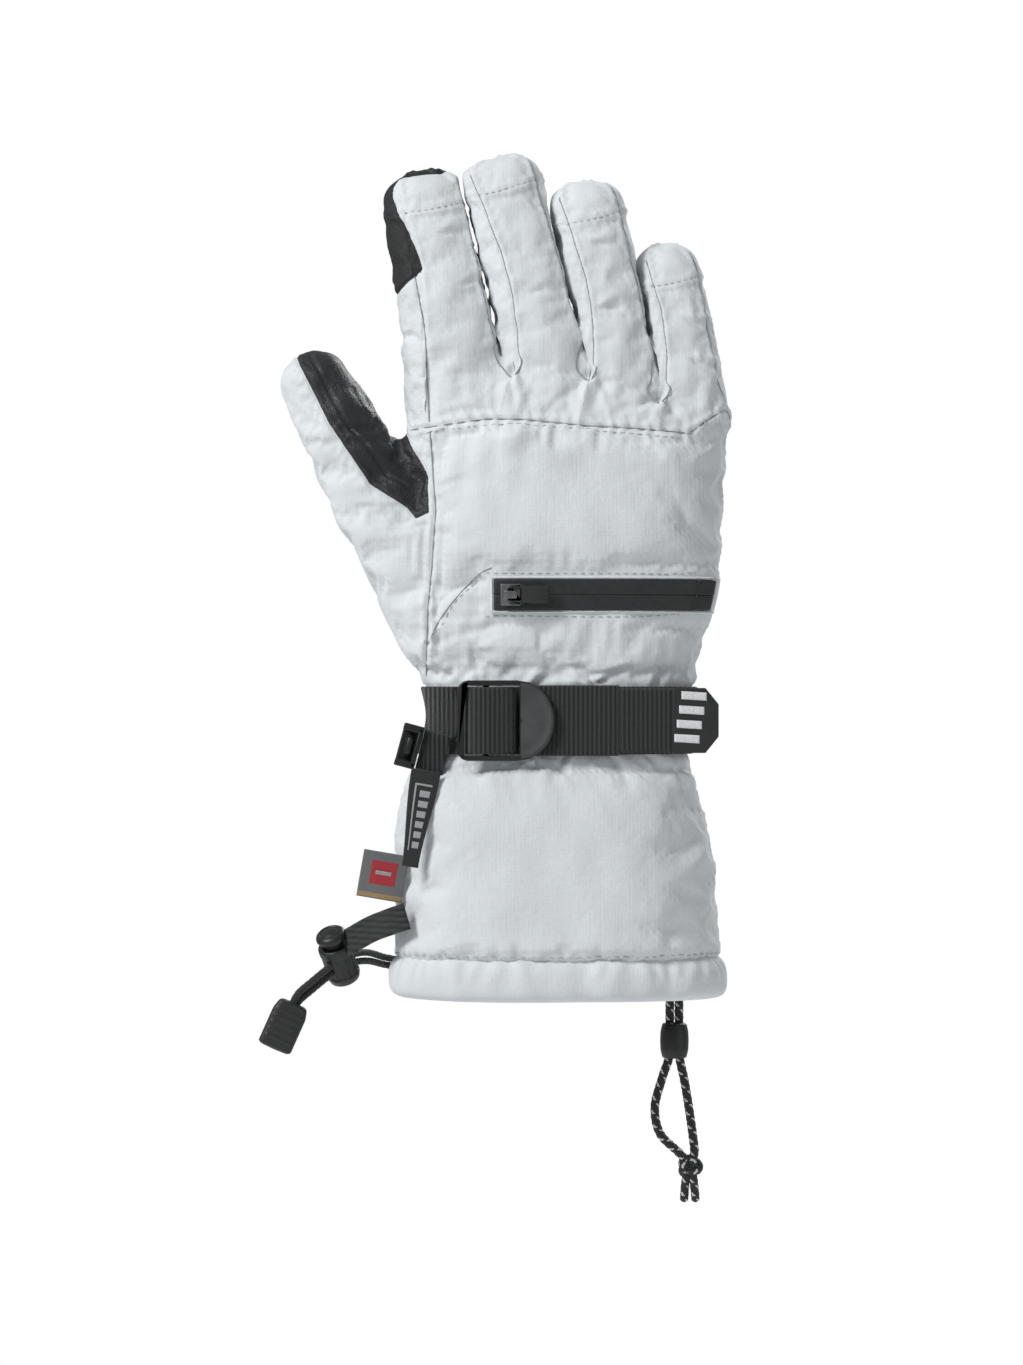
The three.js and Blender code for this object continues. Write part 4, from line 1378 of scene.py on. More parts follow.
def gauntlet_part(p):
    return np.minimum(PALM_BOTTOM - p[:, 2], p[:, 2] - HEM_SEAM)


# The wrist band, between gauntlet and hand.
wrist_mesh = cut(hand_mesh, wrist_part)
wrist_grey = piece("wrist_gathers", cut(wrist_mesh, flipped(leather_edge)), SHELL)
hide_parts("wrist_elastic")
wrist_black = piece("palm_wrist_leather", cut(wrist_mesh, leather_edge), PALM)
for made in (wrist_grey, wrist_black):
    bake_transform(made)

gauntlet_skin = piece("gauntlet_skin", cut(hand_mesh, gauntlet_part), SHELL, "gauntlet")
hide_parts("gauntlet_back_shell", "gauntlet_palm_shell")

# Fingers: everything above the knuckle seam, each parted from its neighbours at the crotches.


def finger_region(name):
    """A function that is positive on one finger."""

    def value(p):
        x, y, z = p.T
        keep = -below_knuckle(p)
        d = digit_rho(DIGITS[name], x, y, z)
        own = (1.09 - d) * DIGITS[name]["wide"][0]
        for pair, (high, _) in CROTCHES.items():
            if name not in pair:
                continue
            side = parting_line(pair, p) * (-1 if pair[0] == name else 1)
            keep = np.minimum(keep, np.maximum(side, own * (z > high[1] - 6) - 0.01))
        return keep

    return value


def index_cap(p):
    """Positive on the index finger's touch cap, outside its inner panel."""
    fields = finger_fields("index", p)
    return np.minimum(cap_edge(fields), -front_panel(fields))


def bend_with(made):
    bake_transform(made)


# The two panels that run across all four fingers are replaced by the middle finger's pieces.
ACROSS_BACK, ACROSS_PALM = {"middle": ["knuckle_panel"]}, {"middle": ["palm_patch_upper"]}
finger_skins = {}
for name in FINGERS:
    mesh = cut(finger_meshes[name], finger_region(name))
    finger_skins[name] = mesh
    if name == "index":
        cap_skin = piece("index_cap_skin", cut(mesh, index_cap), TOUCH, "index")
        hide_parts("index_tip_cap")
        mesh = cut(mesh, flipped(index_cap))
    front = lambda p, name=name: finger_fields(name, p)["front"]
    back_skin = piece(name + "_back_skin", cut(mesh, flipped(front)), SHELL)
    front_skin = piece(name + "_front_skin", cut(mesh, front), PALM)
    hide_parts(name + "_back_shell", *ACROSS_BACK.get(name, []))
    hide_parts(name + "_palm_leather", *ACROSS_PALM.get(name, []))
    for made in (back_skin, front_skin):
        bend_with(made)

# ---------------------------------------------------------------- shape building
def spaced(length, step, edge=(0.12, 0.35, 0.7)):
    """Distances from 0 to length, closer together at both ends."""
    middle = np.arange(edge[-1] + step, length - edge[-1] - step / 2, step)
    return np.concatenate([[0], edge, middle, [length - e for e in reversed(edge)], [length]])


def mesh_piece(name, points, faces, material, slot_name, body, smooth=True, uv=None):
    """A mesh object in metres from points in millimetres."""
    data = bpy.data.meshes.new(name)
    data.from_pydata((np.asarray(points) * MM).tolist(), [], [list(map(int, f)) for f in faces])
    data.materials.append(material)
    if smooth:
        data.shade_smooth()
    if uv is not None:
        layer = data.uv_layers.new(name="UVMap")
        corners = np.zeros(len(data.loops), int)
        data.loops.foreach_get("vertex_index", corners)
        layer.data.foreach_set("uv", np.asarray(uv)[corners].ravel())
    data.update()
    return add_object(name, data, body)


def joined(shapes):
    """Several (points, faces) as one."""
    points, faces, start = [], [], 0
    for p, f in shapes:
        points.append(np.asarray(p))
        faces.extend([[i + start for i in face] for face in f])
        start += len(p)
    return np.concatenate(points), faces


def grid_faces(rows, columns, close_rows=False, close_columns=False):
    """Quads of a grid of points, open or closed either way."""
    faces = []
    for i in range(rows if close_rows else rows - 1):
        for j in range(columns if close_columns else columns - 1):
            a, b = i * columns, ((i + 1) % rows) * columns
            k = (j + 1) % columns
            faces.append((a + j, a + k, b + k, b + j))
    return faces


def slab(place, width, height, thick, step=0.5, relief=None, soft=None):
    """A strap or plate: place(a, b) gives mid points and normals for distances across its two sides."""
    a, b = spaced(width, step), spaced(height, step)
    aa, bb = np.meshgrid(a, b, indexing="ij")
    middle, normal = place(aa.ravel(), bb.ravel())
    inset = np.minimum(np.minimum(aa, width - aa), np.minimum(bb, height - bb)).ravel()
    round_over = soft or thick / 2
    share = np.sqrt(np.clip(1 - (1 - np.clip(inset / round_over, 0, 1)) ** 2, 0, 1))
    half = thick / 2 * share
    rise = relief(aa.ravel(), bb.ravel()) * np.clip(share, 0, 1) if relief else 0
    front = middle + normal * (half + rise)[:, None]
    back = middle - normal * half[:, None]
    n, m = aa.shape
    faces = grid_faces(n, m)
    points = np.concatenate([front, back])
    turned = [tuple(i + n * m for i in reversed(f)) for f in faces]
    rim = list(range(m)) + [i * m + m - 1 for i in range(1, n)]
    rim += [(n - 1) * m + j for j in range(m - 2, -1, -1)] + [i * m for i in range(n - 2, 0, -1)]
    # Front and back share their rim, where the slab has no thickness.
    same = {i + n * m: i for i in rim}
    faces = faces + [tuple(same.get(i, i) for i in f) for f in turned]
    used = sorted({i for f in faces for i in f})
    number = {i: k for k, i in enumerate(used)}
    return points[used], [tuple(number[i] for i in f) for f in faces]


def smooth_line(points, step):
    """A smooth curve through points, sampled every step millimetres."""
    p = np.array(points, float)
    p = np.concatenate([[2 * p[0] - p[1]], p, [2 * p[-1] - p[-2]]])
    out = []
    for i in range(1, len(p) - 2):
        a, b, c, d = p[i - 1 : i + 3]
        count = max(2, int(np.linalg.norm(c - b) / step) + 1)
        t = np.linspace(0, 1, count, endpoint=False)[:, None]
        square = (2 * a - 5 * b + 4 * c - d) * t**2
        cube = (3 * b - a - 3 * c + d) * t**3
        out.append(0.5 * (2 * b + (c - a) * t + square + cube))
    out.append(p[-2][None])
    return np.concatenate(out)


def lengths_along(line):
    """Distance from the start of a line to each of its points."""
    return np.concatenate([[0], np.cumsum(np.linalg.norm(np.diff(line, axis=0), axis=1))])


def ribbon_place(line, low):
    """Places a slab along a line of (x, y), rising in z from low, with its front towards -Y."""
    curve = smooth_line(line, 0.3)
    run = lengths_along(curve)
    way = np.gradient(curve, axis=0)
    way /= np.linalg.norm(way, axis=1)[:, None]

    def place(a, b):
        x, y = np.interp(a, run, curve[:, 0]), np.interp(a, run, curve[:, 1])
        wx, wy = np.interp(a, run, way[:, 0]), np.interp(a, run, way[:, 1])
        return np.stack([x, y, low + b], 1), np.stack([wy, -wx, 0 * a], 1)

    return place, run[-1]


def section_point(angle, z, out):
    """A point of the hand or gauntlet's section, moved out along its normal."""
    left, right, half = smooth_table(SLEEVE, z)
    width = (right - left) / 2
    c, s = np.cos(angle), np.sin(angle)
    x = width * np.sign(c) * np.abs(c) ** (2 / POWER)
    y = half * np.sign(s) * np.abs(s) ** (2 / POWER)
    nx = np.sign(x) * np.abs(x / width) ** (POWER - 1) / width
    ny = np.sign(y) * np.abs(y / half) ** (POWER - 1) / half
    size = np.hypot(nx, ny)
    normal = np.stack([nx / size, ny / size, 0 * nx], 1)
    point = np.stack([x + (left + right) / 2, y, z], 1)
    return point + normal * np.reshape(out, (-1, 1)), normal


def wrap_place(start, end, z, out):
    """Places a slab round the glove at a height, between two angles."""
    part = np.linspace(start, end, 400)
    run = lengths_along(section_point(part, np.full(400, z + 12.0), out)[0])

    def place(a, b):
        return section_point(np.interp(a, run, part), z + b, np.full(len(a), out))

    return place, run[-1]


def frames_of(line):
    """Directions across a space curve that don't twist."""
    way = np.gradient(line, axis=0)
    way /= np.linalg.norm(way, axis=1)[:, None]
    side = np.cross(way[0], (0.3, 1, 0.2))
    side /= np.linalg.norm(side)
    sides = []
    for w in way:
        side = side - w * (side @ w)
        side /= np.linalg.norm(side)
        sides.append(side)
    sides = np.array(sides)
    return way, sides, np.cross(way, sides)


def tube(line, radius, sides=10, relief=None, ends=True):
    """A tube along a space curve, with its girth and length as UV and rounded ends."""
    _, u, v = frames_of(line)
    run = lengths_along(line)
    angle = np.linspace(0, 2 * math.pi, sides + 1)
    radii = np.broadcast_to(radius, run.shape).copy()
    if ends:
        reach = np.minimum(run, run[-1] - run) / np.maximum(radii, 1e-6)
        radii = radii * np.sqrt(np.clip(1 - (1 - np.clip(reach, 0, 1)) ** 2, 0.02, 1))
    aa, ll = np.meshgrid(angle, run)
    r = radii[:, None] * (1 + (relief(aa, ll) if relief else 0))
    along_u, along_v = (np.cos(aa) * r)[..., None] * u[:, None], (np.sin(aa) * r)[..., None] * v[:, None]
    points = line[:, None] + along_u + along_v
    uv = np.stack([aa / (2 * math.pi), ll * MM], -1).reshape(-1, 2)
    faces = [tuple(reversed(f)) for f in grid_faces(len(line), sides + 1)]
    return points.reshape(-1, 3), faces, uv


def lathe(profile, axis, place, sides=56, groove_of=None):
    """A turned shape from (radius, height) pairs along an axis."""
    line = np.array(profile, float)
    turn = np.array(Vector((0, 0, 1)).rotation_difference(Vector(axis).normalized()).to_matrix())
    angle = np.linspace(0, 2 * math.pi, sides, endpoint=False)
    aa, rr = np.meshgrid(angle, line[:, 0])
    hh = np.repeat(line[:, 1][:, None], sides, 1)
    if groove_of:
        rr = rr + groove_of(aa, hh)
    points = np.stack([np.cos(aa) * rr, np.sin(aa) * rr, hh], -1).reshape(-1, 3) @ turn.T + np.array(place)
    return points, [tuple(reversed(f)) for f in grid_faces(len(line), sides, close_columns=True)]


def rounded(profile, radius, steps=4):
    """A profile with its corners rounded."""
    p = [np.array(q, float) for q in profile]
    out = [p[0]]
    for before, here, after in zip(p, p[1:], p[2:]):
        a, b = before - here, after - here
        reach = min(radius, np.linalg.norm(a) * 0.48, np.linalg.norm(b) * 0.48)
        start, end = here + a / np.linalg.norm(a) * reach, here + b / np.linalg.norm(b) * reach
        for t in np.linspace(0, 1, steps + 1):
            out.append((1 - t) ** 2 * start + 2 * t * (1 - t) * here + t * t * end)
    return out + [p[-1]]


def bevelled_copy(node, name, width, segments=3):
    """A CAD solid's shape with its edges rounded, as a new mesh."""
    shape = bmesh.new()
    shape.from_mesh(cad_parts[node].data)
    bmesh.ops.remove_doubles(shape, verts=shape.verts, dist=1e-6)
    bmesh.ops.dissolve_limit(shape, angle_limit=math.radians(2), verts=shape.verts, edges=shape.edges)
    sharp = [e for e in shape.edges if len(e.link_faces) == 2 and e.calc_face_angle(0) > math.radians(22)]
    bmesh.ops.bevel(shape, geom=sharp, offset=width * MM, segments=segments, affect="EDGES", profile=0.6)
    data = bpy.data.meshes.new(name)
    shape.to_mesh(data)
    shape.free()
    data.shade_smooth()
    return data


def hard_piece(node, name, width, material, body):
    """A moulded or metal piece: the CAD node's shape with its edges rounded."""
    data = bevelled_copy(node, name, width)
    data.materials.clear()
    data.materials.append(material)
    data.set_sharp_from_angle(angle=math.radians(50))
    made = add_object(name, data, body)
    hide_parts(node)
    return made


def ribs(pitch, depth, across="a"):
    """Relief of webbing: rounded ribs at a pitch, with a fine cross weave."""

    def relief(a, b):
        run, other = (a, b) if across == "a" else (b, a)
        rib = np.abs(np.sin(math.pi * run / pitch)) ** 0.7
        weave = 0.3 * np.sin(2 * math.pi * other / 1.1 + math.pi * np.floor(run / pitch))
        return depth * (rib - 0.6 + weave)

    return relief


# ---------------------------------------------------------------- stitches on the skins
def surface_of(*meshes):
    """A tree for finding the nearest place on displaced skins, in millimetres."""
    points, faces = joined([(m[0], m[1].tolist()) for m in meshes])
    return BVHTree.FromPolygons(points.tolist(), faces)


def on_surface(tree, points, out=0.0):
    """Points moved to the nearest place on a surface, and its normals there."""
    spots, normals = [], []
    for p in points:
        spot, normal, _, _ = tree.find_nearest(Vector(p))
        spots.append(spot + normal * out)
        normals.append(normal)
    return np.array(spots), np.array(normals)


def stitch_shape(start, end, normal, radius):
    """One stitch: a small round-ended bead of thread that dips in at both ends."""
    t = np.array([0, 0.12, 0.35, 0.65, 0.88, 1.0])
    lift = radius * np.array([-1.1, -0.1, 0.45, 0.45, -0.1, -1.1])
    girth = radius * np.array([0.25, 0.8, 1, 1, 0.8, 0.25])
    line = start[None] * (1 - t[:, None]) + end[None] * t[:, None] + normal[None] * lift[:, None]
    points, faces, _ = tube(line, girth, 6, ends=False)
    return points, faces


def stitches(name, lines, tree, material, slot_name, body, long=2.6, gap=1.2, radius=0.24, out=0.05):
    """Dashed stitches along lines laid on a surface."""
    shapes = []
    for line in lines:
        curve = smooth_line(line, 0.5)
        run = lengths_along(curve)
        starts = np.arange(0.3, run[-1] - long, long + gap)
        both = np.concatenate([starts, starts + long])
        places = np.stack([np.interp(both, run, curve[:, k]) for k in range(3)], 1)
        spots, normals = on_surface(tree, places, out)
        n = len(starts)
        for i in range(n):
            normal = normals[i] + normals[i + n]
            normal /= np.linalg.norm(normal)
            if np.linalg.norm(spots[i + n] - spots[i]) < 1.8 * long:
                shapes.append(stitch_shape(spots[i], spots[i + n], normal, radius))
    points, faces = joined(shapes)
    return mesh_piece(name, points, faces, material, slot_name, body)


def straight(a, b, count=12):
    """Evenly spaced points from a to b."""
    return np.linspace(np.array(a, float), np.array(b, float), count)


# ---------------------------------------------------------------- hem and lining
HEM_PROFILE = [
    # Height, and distance out from the gauntlet's section.
    (15.4, -1.8),
    (14.6, -0.7),
    (13.2, 0.6),
    (10.8, 1.7),
    (7.5, 2.1),
    (4.0, 1.9),
    (1.6, 0.9),
    (0.3, -0.9),
    (-0.1, -2.6),
    (0.6, -4.3),
    (2.6, -5.6),
    (6.0, -6.3),
    (10.0, -6.4),
    (13.2, -6.3),
    (14.4, -5.2),
]


def hem():
    """The rolled hem: fabric drawn over the edge and sewn, with puckers that run out from its seam."""
    profile = smooth_line(HEM_PROFILE, 0.8)
    angle = np.linspace(0, 2 * math.pi, 620, endpoint=False)
    rows = []
    for height, out in profile:
        z = np.full(len(angle), height)
        point, normal = section_point(angle, np.maximum(z, -3), np.full(len(angle), out))
        around = angle * MEAN_RADIUS
        near_seam = math.exp(-(((height - 13.5) / 5.5) ** 2)) if out > -2 else 0.25
        pucker = np.sin(around * 2 * math.pi / 6.1 + 1.8 * ripple(point, 24, 12))
        folds = 0.45 * ripple(point * (1, 1, 0.3), 15, 15)
        wave = 0.34 * near_seam * pucker + folds + 0.35 * ripple(point, 38, 16)
        dip = 0.5 * ripple(point * (1, 1, 0), 52, 17) * smooth_step((6 - height) / 6)
        rows.append(point + normal * wave[:, None] + np.array((0, 0, 1)) * dip[:, None])
    points = np.concatenate(rows)
    faces = [tuple(reversed(f)) for f in grid_faces(len(profile), len(angle), close_columns=True)]
    made = mesh_piece("hem_roll", points, faces, SHELL, "shell_fabric", "gauntlet")
    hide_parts("hem_binding")
    return made


def lining():
    """Brushed fleece seen through the opening, and the padded liners of the hand and fingers."""
    angle = np.linspace(0, 2 * math.pi, 160, endpoint=False)
    heights = np.linspace(9, 119, 64)
    rows = []
    for z in heights:
        # It comes out from behind the turned edge of the hem.
        inset = -4.4 - 2.5 * smooth_step((z - 11) / 7)
        clear = smooth_step((z - 13) / 8)
        point, normal = section_point(angle, np.full(len(angle), z), inset)
        rough = clear * (0.5 * ripple(point, 16, 21) + 0.25 * ripple(point, 7, 22))
        rows.append(point + normal * rough[:, None])
    faces = grid_faces(len(heights), len(angle), close_columns=True)
    cuff = mesh_piece("gauntlet_fleece", np.concatenate(rows), faces, FLEECE, "lining", None)
    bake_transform(cuff)
    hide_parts("gauntlet_liner")
    for name in ("hand",) + tuple(DIGITS):
        inner_liner(name)


def inner_liner(name):
    """The liner inside the hand, a finger or the thumb, drawn in from the skin."""
    if name == "hand":
        g = Grid((-64, -30, 112), (68, 30, 240), step=2.8)
        points, triangles = skin_of(core_field(g) + 4.4, g)
        region = np.minimum(points[:, 2] - 118, below_knuckle(points))
    else:
        d = DIGITS[name]
        low = (min(d["base"][0], d["tip"][0]) - 26, -24, d["base"][1] - 20)
        g = Grid(low, (max(d["base"][0], d["tip"][0]) + 26, 30, d["tip"][1] + 4), step=2.4)
        points, triangles = skin_of(digit_alone(g, name) + 3.8, g)
        region = digit_coordinates(d, *points.T)[0] - d["hinge"] - 3
    points = points + (0.3 * ripple(points, 12, 23))[:, None] * normals_of(points, triangles)
    kept = keep_where((points, triangles, {}), region)
    made = piece(name + "_fleece", kept, FLEECE, name)
    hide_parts(name + "_liner")


hem()
lining()

# ---------------------------------------------------------------- wrist strap
STRAP_LOW, STRAP_MIDDLE, STRAP_WIDTH = 90.5, 103, 25


def angle_at(x, z=STRAP_MIDDLE):
    """The angle round the section at a height where its back is at x."""
    angles = np.linspace(-math.pi, 0, 2001)
    line = section_point(angles, np.full(len(angles), float(z)), 0)[0]
    return angles[np.argmin(np.abs(line[:, 0] - x))]


def strap_layer(name, node, start, end, out=1.3):
    """Webbing sewn round the wrist between two angles, some way out from the gauntlet's section."""
    place, length = wrap_place(start, end, STRAP_LOW, out)
    points, faces = slab(place, length, STRAP_WIDTH, 1.5, 0.42, ribs(1.7, 0.16))
    made = mesh_piece(name, points, faces, STRAP, "webbing", "gauntlet")
    if node:
        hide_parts(node)


left_edge = -math.pi - 0.25
strap_layer("strap_anchor_webbing", "strap_anchor", left_edge, angle_at(-36.5))
strap_layer("strap_under_webbing", "strap_under_layer", angle_at(-13), 0.02)
strap_layer("strap_backing_webbing", None, angle_at(-38), angle_at(-11), 0.5)


def ribbon_piece(name, node, body, line, low, high, thick, pitch=1.7, depth=0.16):
    """Ribbed webbing that stands along a line of (x, y), between two heights."""
    place, length = ribbon_place(line, low)
    points, faces = slab(place, length, high - low, thick, 0.42, ribs(pitch, depth))
    made = mesh_piece(name, points, faces, STRAP, "webbing", body)
    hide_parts(node)


WRAP_LINE = (
    (-34.6, -26.9), (-33.2, -28.8), (-31, -30.1), (-27.4, -30.5),
    (-24, -30.2), (-19.4, -29.0), (-16.4, -27.2),
)
ribbon_piece("strap_over_bar", "strap_wrap", "ladder_lock", WRAP_LINE, 90.8, 115.2, 1.5)
TAIL_LINE = ((-13, -26.5), (2, -26.8), (14, -26.5), (21.6, -26))
ribbon_piece("strap_tail_webbing", "tail_webbing", "strap_tail", TAIL_LINE, 90, 116, 1.7)
STRIP_LINE = ((21.4, -26.1), (31, -24.9), (41.6, -22.9))
ribbon_piece("strap_tail_strip", "tail_strip", "strap_tail", STRIP_LINE, 91.2, 114.8, 1.6, 0.9, 0.06)
hard_piece("ladder_lock_frame", "ladder_lock_moulding", 0.55, PLASTIC, "ladder_lock")


def lever_pad():
    """The raised half-round grip on the ladder lock's lever end."""
    rows = []
    angle = np.linspace(-math.pi / 2, math.pi / 2, 60)
    # Share of the outline's size, and rise above its rim.
    steps = (
        (1.0, 0.0), (0.985, 0.35), (0.94, 0.6), (0.9, 0.62),
        (0.86, 0.34), (0.7, 0.3), (0.4, 0.42), (0.05, 0.45),
    )
    for share, rise in steps:
        x = -14.6 + (12.2 * share) * np.cos(angle)
        z = 103 + (13.9 * share) * np.sin(angle)
        rows.append(np.stack([x, np.full(len(x), -30.25 - rise), z], 1))
    points = np.concatenate(rows)
    faces = [tuple(reversed(f)) for f in grid_faces(len(rows), len(angle))]
    # Its grey material is a painted highlight on the angled lever end.
    mesh_piece("lever_grip_pad", points, faces, LEVER_HIGHLIGHT, "dark_rubber", "ladder_lock")


lever_pad()

TAB_TURN = Matrix.Rotation(0.22, 4, "Z")
TAB_PLACE = Matrix.Translation((40.8, -22, 103)) @ TAB_TURN


def tab_points(points):
    return np.array([TAB_PLACE @ Vector(p) for p in points])


def pull_tab():
    """The moulded end of the strap, with four slanted reflective bars."""
    hard_piece("pull_tab", "pull_tab_moulding", 0.5, RUBBER, "strap_tail")
    shapes = []
    for k in range(4):
        z0 = -7.9 + 5.25 * k
        place = lambda a, b, z0=z0, k=k: (
            tab_points(np.stack([0.6 + 0.9 * k + a, np.full(len(a), -2.42), z0 + b - 0.06 * a], 1)),
            np.tile(np.array(TAB_TURN.to_3x3() @ Vector((0, -1, 0))), (len(a), 1)),
        )
        shapes.append(slab(place, 9.6, 3.0, 0.6, 0.35, soft=1.1))
    points, faces = joined(shapes)
    mesh_piece("reflective_bars", points, faces, PRINT, "label_cloth", "strap_tail")


pull_tab()

# ---------------------------------------------------------------- zip pocket
ZIP_LOW, ZIP_HIGH = 143.4, 155.0


def hand_patch(from_x, to_x, low, out):
    """Places a slab on the back of the hand between two x places."""
    start, end = angle_at(from_x, low), angle_at(to_x, low)
    part = np.linspace(start, end, 300)
    run = lengths_along(section_point(part, np.full(300, low + 5.0), out)[0])

    def place(a, b):
        return section_point(np.interp(a, run, part), low + b, np.full(len(a), out))

    return place, run[-1]


def zip_tapes():
    """Two coated tapes that meet over the teeth."""
    shapes = []
    place, length = hand_patch(-24.2, 54.4, ZIP_LOW + 0.2, 1.15)
    for up in (0, 5.65):
        shapes.append(slab(lambda a, b, up=up: place(a, b + up), length, 5.75, 1.1, 0.45, soft=0.5))
    tape = mesh_piece("zip_tapes", *joined(shapes), ZIP, "dark_rubber", "hand")
    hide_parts("zip_tape")


def zip_welt():
    """A narrow welt of shell fabric round the tapes: two long lips and two ends."""
    lips = []
    waver = lambda a, b: 0.1 * np.sin(a * 1.05) * np.sin(a * 0.37)
    for low in (ZIP_LOW - 1.0, ZIP_HIGH - 0.1):
        place, length = hand_patch(-25.6, 56.0, low, 0.5)
        lips.append(slab(place, length, 1.2, 1.6, 0.4, waver, soft=0.6))
    for from_x, to_x in ((-25.6, -24.2), (54.7, 56.0)):
        place, length = hand_patch(from_x, to_x, ZIP_LOW - 0.9, 0.45)
        lips.append(slab(place, length, 13.3, 1.5, 0.4, soft=0.6))
    mesh_piece("zip_welt", *joined(lips), SHELL, "shell_fabric", "hand")


def zip_stop():
    """The bar across the end of the teeth."""
    place, length = hand_patch(48.0, 48.7, ZIP_LOW + 0.4, 1.75)
    stop = mesh_piece("zip_stop_bar", *slab(place, length, 11.2, 0.5, 0.3), PLASTIC, "dark_rubber", "hand")
    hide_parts("zip_end_stop")


def pocket_bag():
    """The fleece bag behind the zip."""
    place, length = hand_patch(-30, 46, 134, -3.2)
    uneven = lambda a, b: 0.3 * np.sin(a / 4) * np.sin(b / 5)
    bag = mesh_piece("pocket_lining", *slab(place, length, 44, 1.0, 2.5, uneven), FLEECE, "lining", "hand")
    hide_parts("pocket_bag")


zip_tapes()
zip_welt()
zip_stop()
pocket_bag()
hard_piece("zip_slider", "zip_slider_body", 0.35, STEEL, "zip_slider")
hard_piece("zip_puller", "zip_puller_tab", 0.4, RUBBER, "zip_puller")

# ---------------------------------------------------------------- clip and labels
CLIP_TURN = Matrix.Translation((-55.3, -20.5, 93.5)) @ Matrix.Rotation(math.radians(15), 4, "Y")


def soft_box(low, high, radius=0.45):
    """Points and faces of a box with rounded edges."""
    shape = bmesh.new()
    bmesh.ops.create_cube(shape, size=1)
    size, middle = np.subtract(high, low), np.add(high, low) / 2
    for v in shape.verts:
        v.co = Vector(np.array(v.co) * size + middle)
    radius = min(radius, min(size) * 0.45)
    bmesh.ops.bevel(shape, geom=shape.edges[:], offset=radius, segments=3, affect="EDGES", profile=0.5)
    points = np.array([v.co for v in shape.verts])
    faces = [[v.index for v in f.verts] for f in shape.faces]
    shape.free()
    return points, faces


def clip_socket():
    """The moulded socket: two rails, a cross bar, a back wall and the catch inside its window."""
    boxes = [
        soft_box((-4.2, -3.7, 5.4), (3.4, 3.7, 8)),
        soft_box((-4.2, -3.7, -8), (3.4, 3.7, -5.4)),
        soft_box((1.6, -3.7, -7.6), (3.4, 3.7, 7.6), 0.6),
        soft_box((-4.1, -3.5, -7.4), (-3.0, -1.9, 7.4)),
        soft_box((-4.0, 2.5, -7.4), (3.0, 3.6, 7.4)),
        soft_box((-1.9, -2.9, -3.6), (0.9, 1.2, 3.6), 1.2),
        soft_box((-1.6, -0.8, -4.6), (0.6, 2.7, 4.6), 0.8),
        soft_box((1.9, -4.1, -6.2), (2.7, -3.2, 6.2), 0.35),
    ]
    points, faces = joined(boxes)
    points = np.array([CLIP_TURN @ Vector(p) for p in points])
    socket = mesh_piece("clip_socket_moulding", points, faces, PLASTIC, "black_plastic", "clip")
    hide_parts("clip_socket")


def clip_loop():
    """Webbing that holds the clip's bar and is sewn into the side seam."""

    def place(a, b):
        local = np.stack([4.3 + a, np.full(len(a), -0.2) + 0.02 * a, -7.4 + b], 1)
        normal = np.array(CLIP_TURN.to_3x3() @ Vector((0, -1, 0)))
        return np.array([CLIP_TURN @ Vector(p) for p in local]), np.tile(normal, (len(a), 1))

    points, faces = slab(place, 10, 14.8, 2.9, 0.42, ribs(1.7, 0.14, "b"))
    made = mesh_piece("clip_loop", points, faces, STRAP, "webbing", "gauntlet")
    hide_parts("clip_webbing")
    hard_piece("clip_bar", "clip_bar_rod", 0.3, PLASTIC, "gauntlet")


clip_socket()
clip_loop()


def flag_place(centre, turn_z, turn_y, width, height, curl):
    """Places a slab for a sewn-in label that stands off the side seam and curls a little."""
    turn = Matrix.Rotation(turn_z, 4, "Z") @ Matrix.Rotation(turn_y, 4, "Y")

    def place(a, b, lift=0.0):
        x, z = a - width / 2, b - height / 2
        bend = curl * ((a - width) / width) ** 2 + 0.35 * np.sin(b / height * 5.0)
        local = np.stack([x, bend - lift, z], 1)
        spots = np.array([turn @ Vector(p) for p in local]) + np.array(centre)
        normal = np.array(turn.to_3x3() @ Vector((0, -1, 0)))
        return spots, np.tile(normal, (len(np.atleast_1d(a)), 1))

    return place


def label_part(place, a0, a1, b0, b1, thick, lift, step=0.5):
    """A rectangle of a label, or of its print, lifted off the label's middle."""
    shifted = lambda a, b: place(a + a0, b + b0, lift)
    return slab(shifted, a1 - a0, b1 - b0, thick, step, soft=min(0.3, thick))


def care_label():
    """A narrow label that tapers downwards, with plain bars in a thin frame."""
    flat = flag_place((-52.3, -25.6, 67), 0.25, 0.17, 11, 36, 0.8)

    def place(a, b, lift=0.0):
        share = 0.56 + 0.44 * smooth_step(np.asarray(b) / 34)
        return flat(5.5 + (np.asarray(a) - 5.5) * share, b, lift)

    cloth = label_part(place, 0, 11, 0, 36, 0.8, 0)
    made = mesh_piece("care_label_cloth", *cloth, LABEL_BLACK, "webbing", "gauntlet")
    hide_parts("care_label")
    print_parts = [
        label_part(place, 2.2, 8.8, 30.2, 30.8, 0.2, 0.45),
        label_part(place, 2.2, 2.9, 6, 30.8, 0.2, 0.45),
    ]
    print_parts += [label_part(place, 4.4, 8.4, 7 + 3.8 * k, 9.4 + 3.8 * k, 0.2, 0.45) for k in range(6)]
    mesh_piece("care_label_print", *joined(print_parts), LABEL_LINE, "label_cloth", "gauntlet")


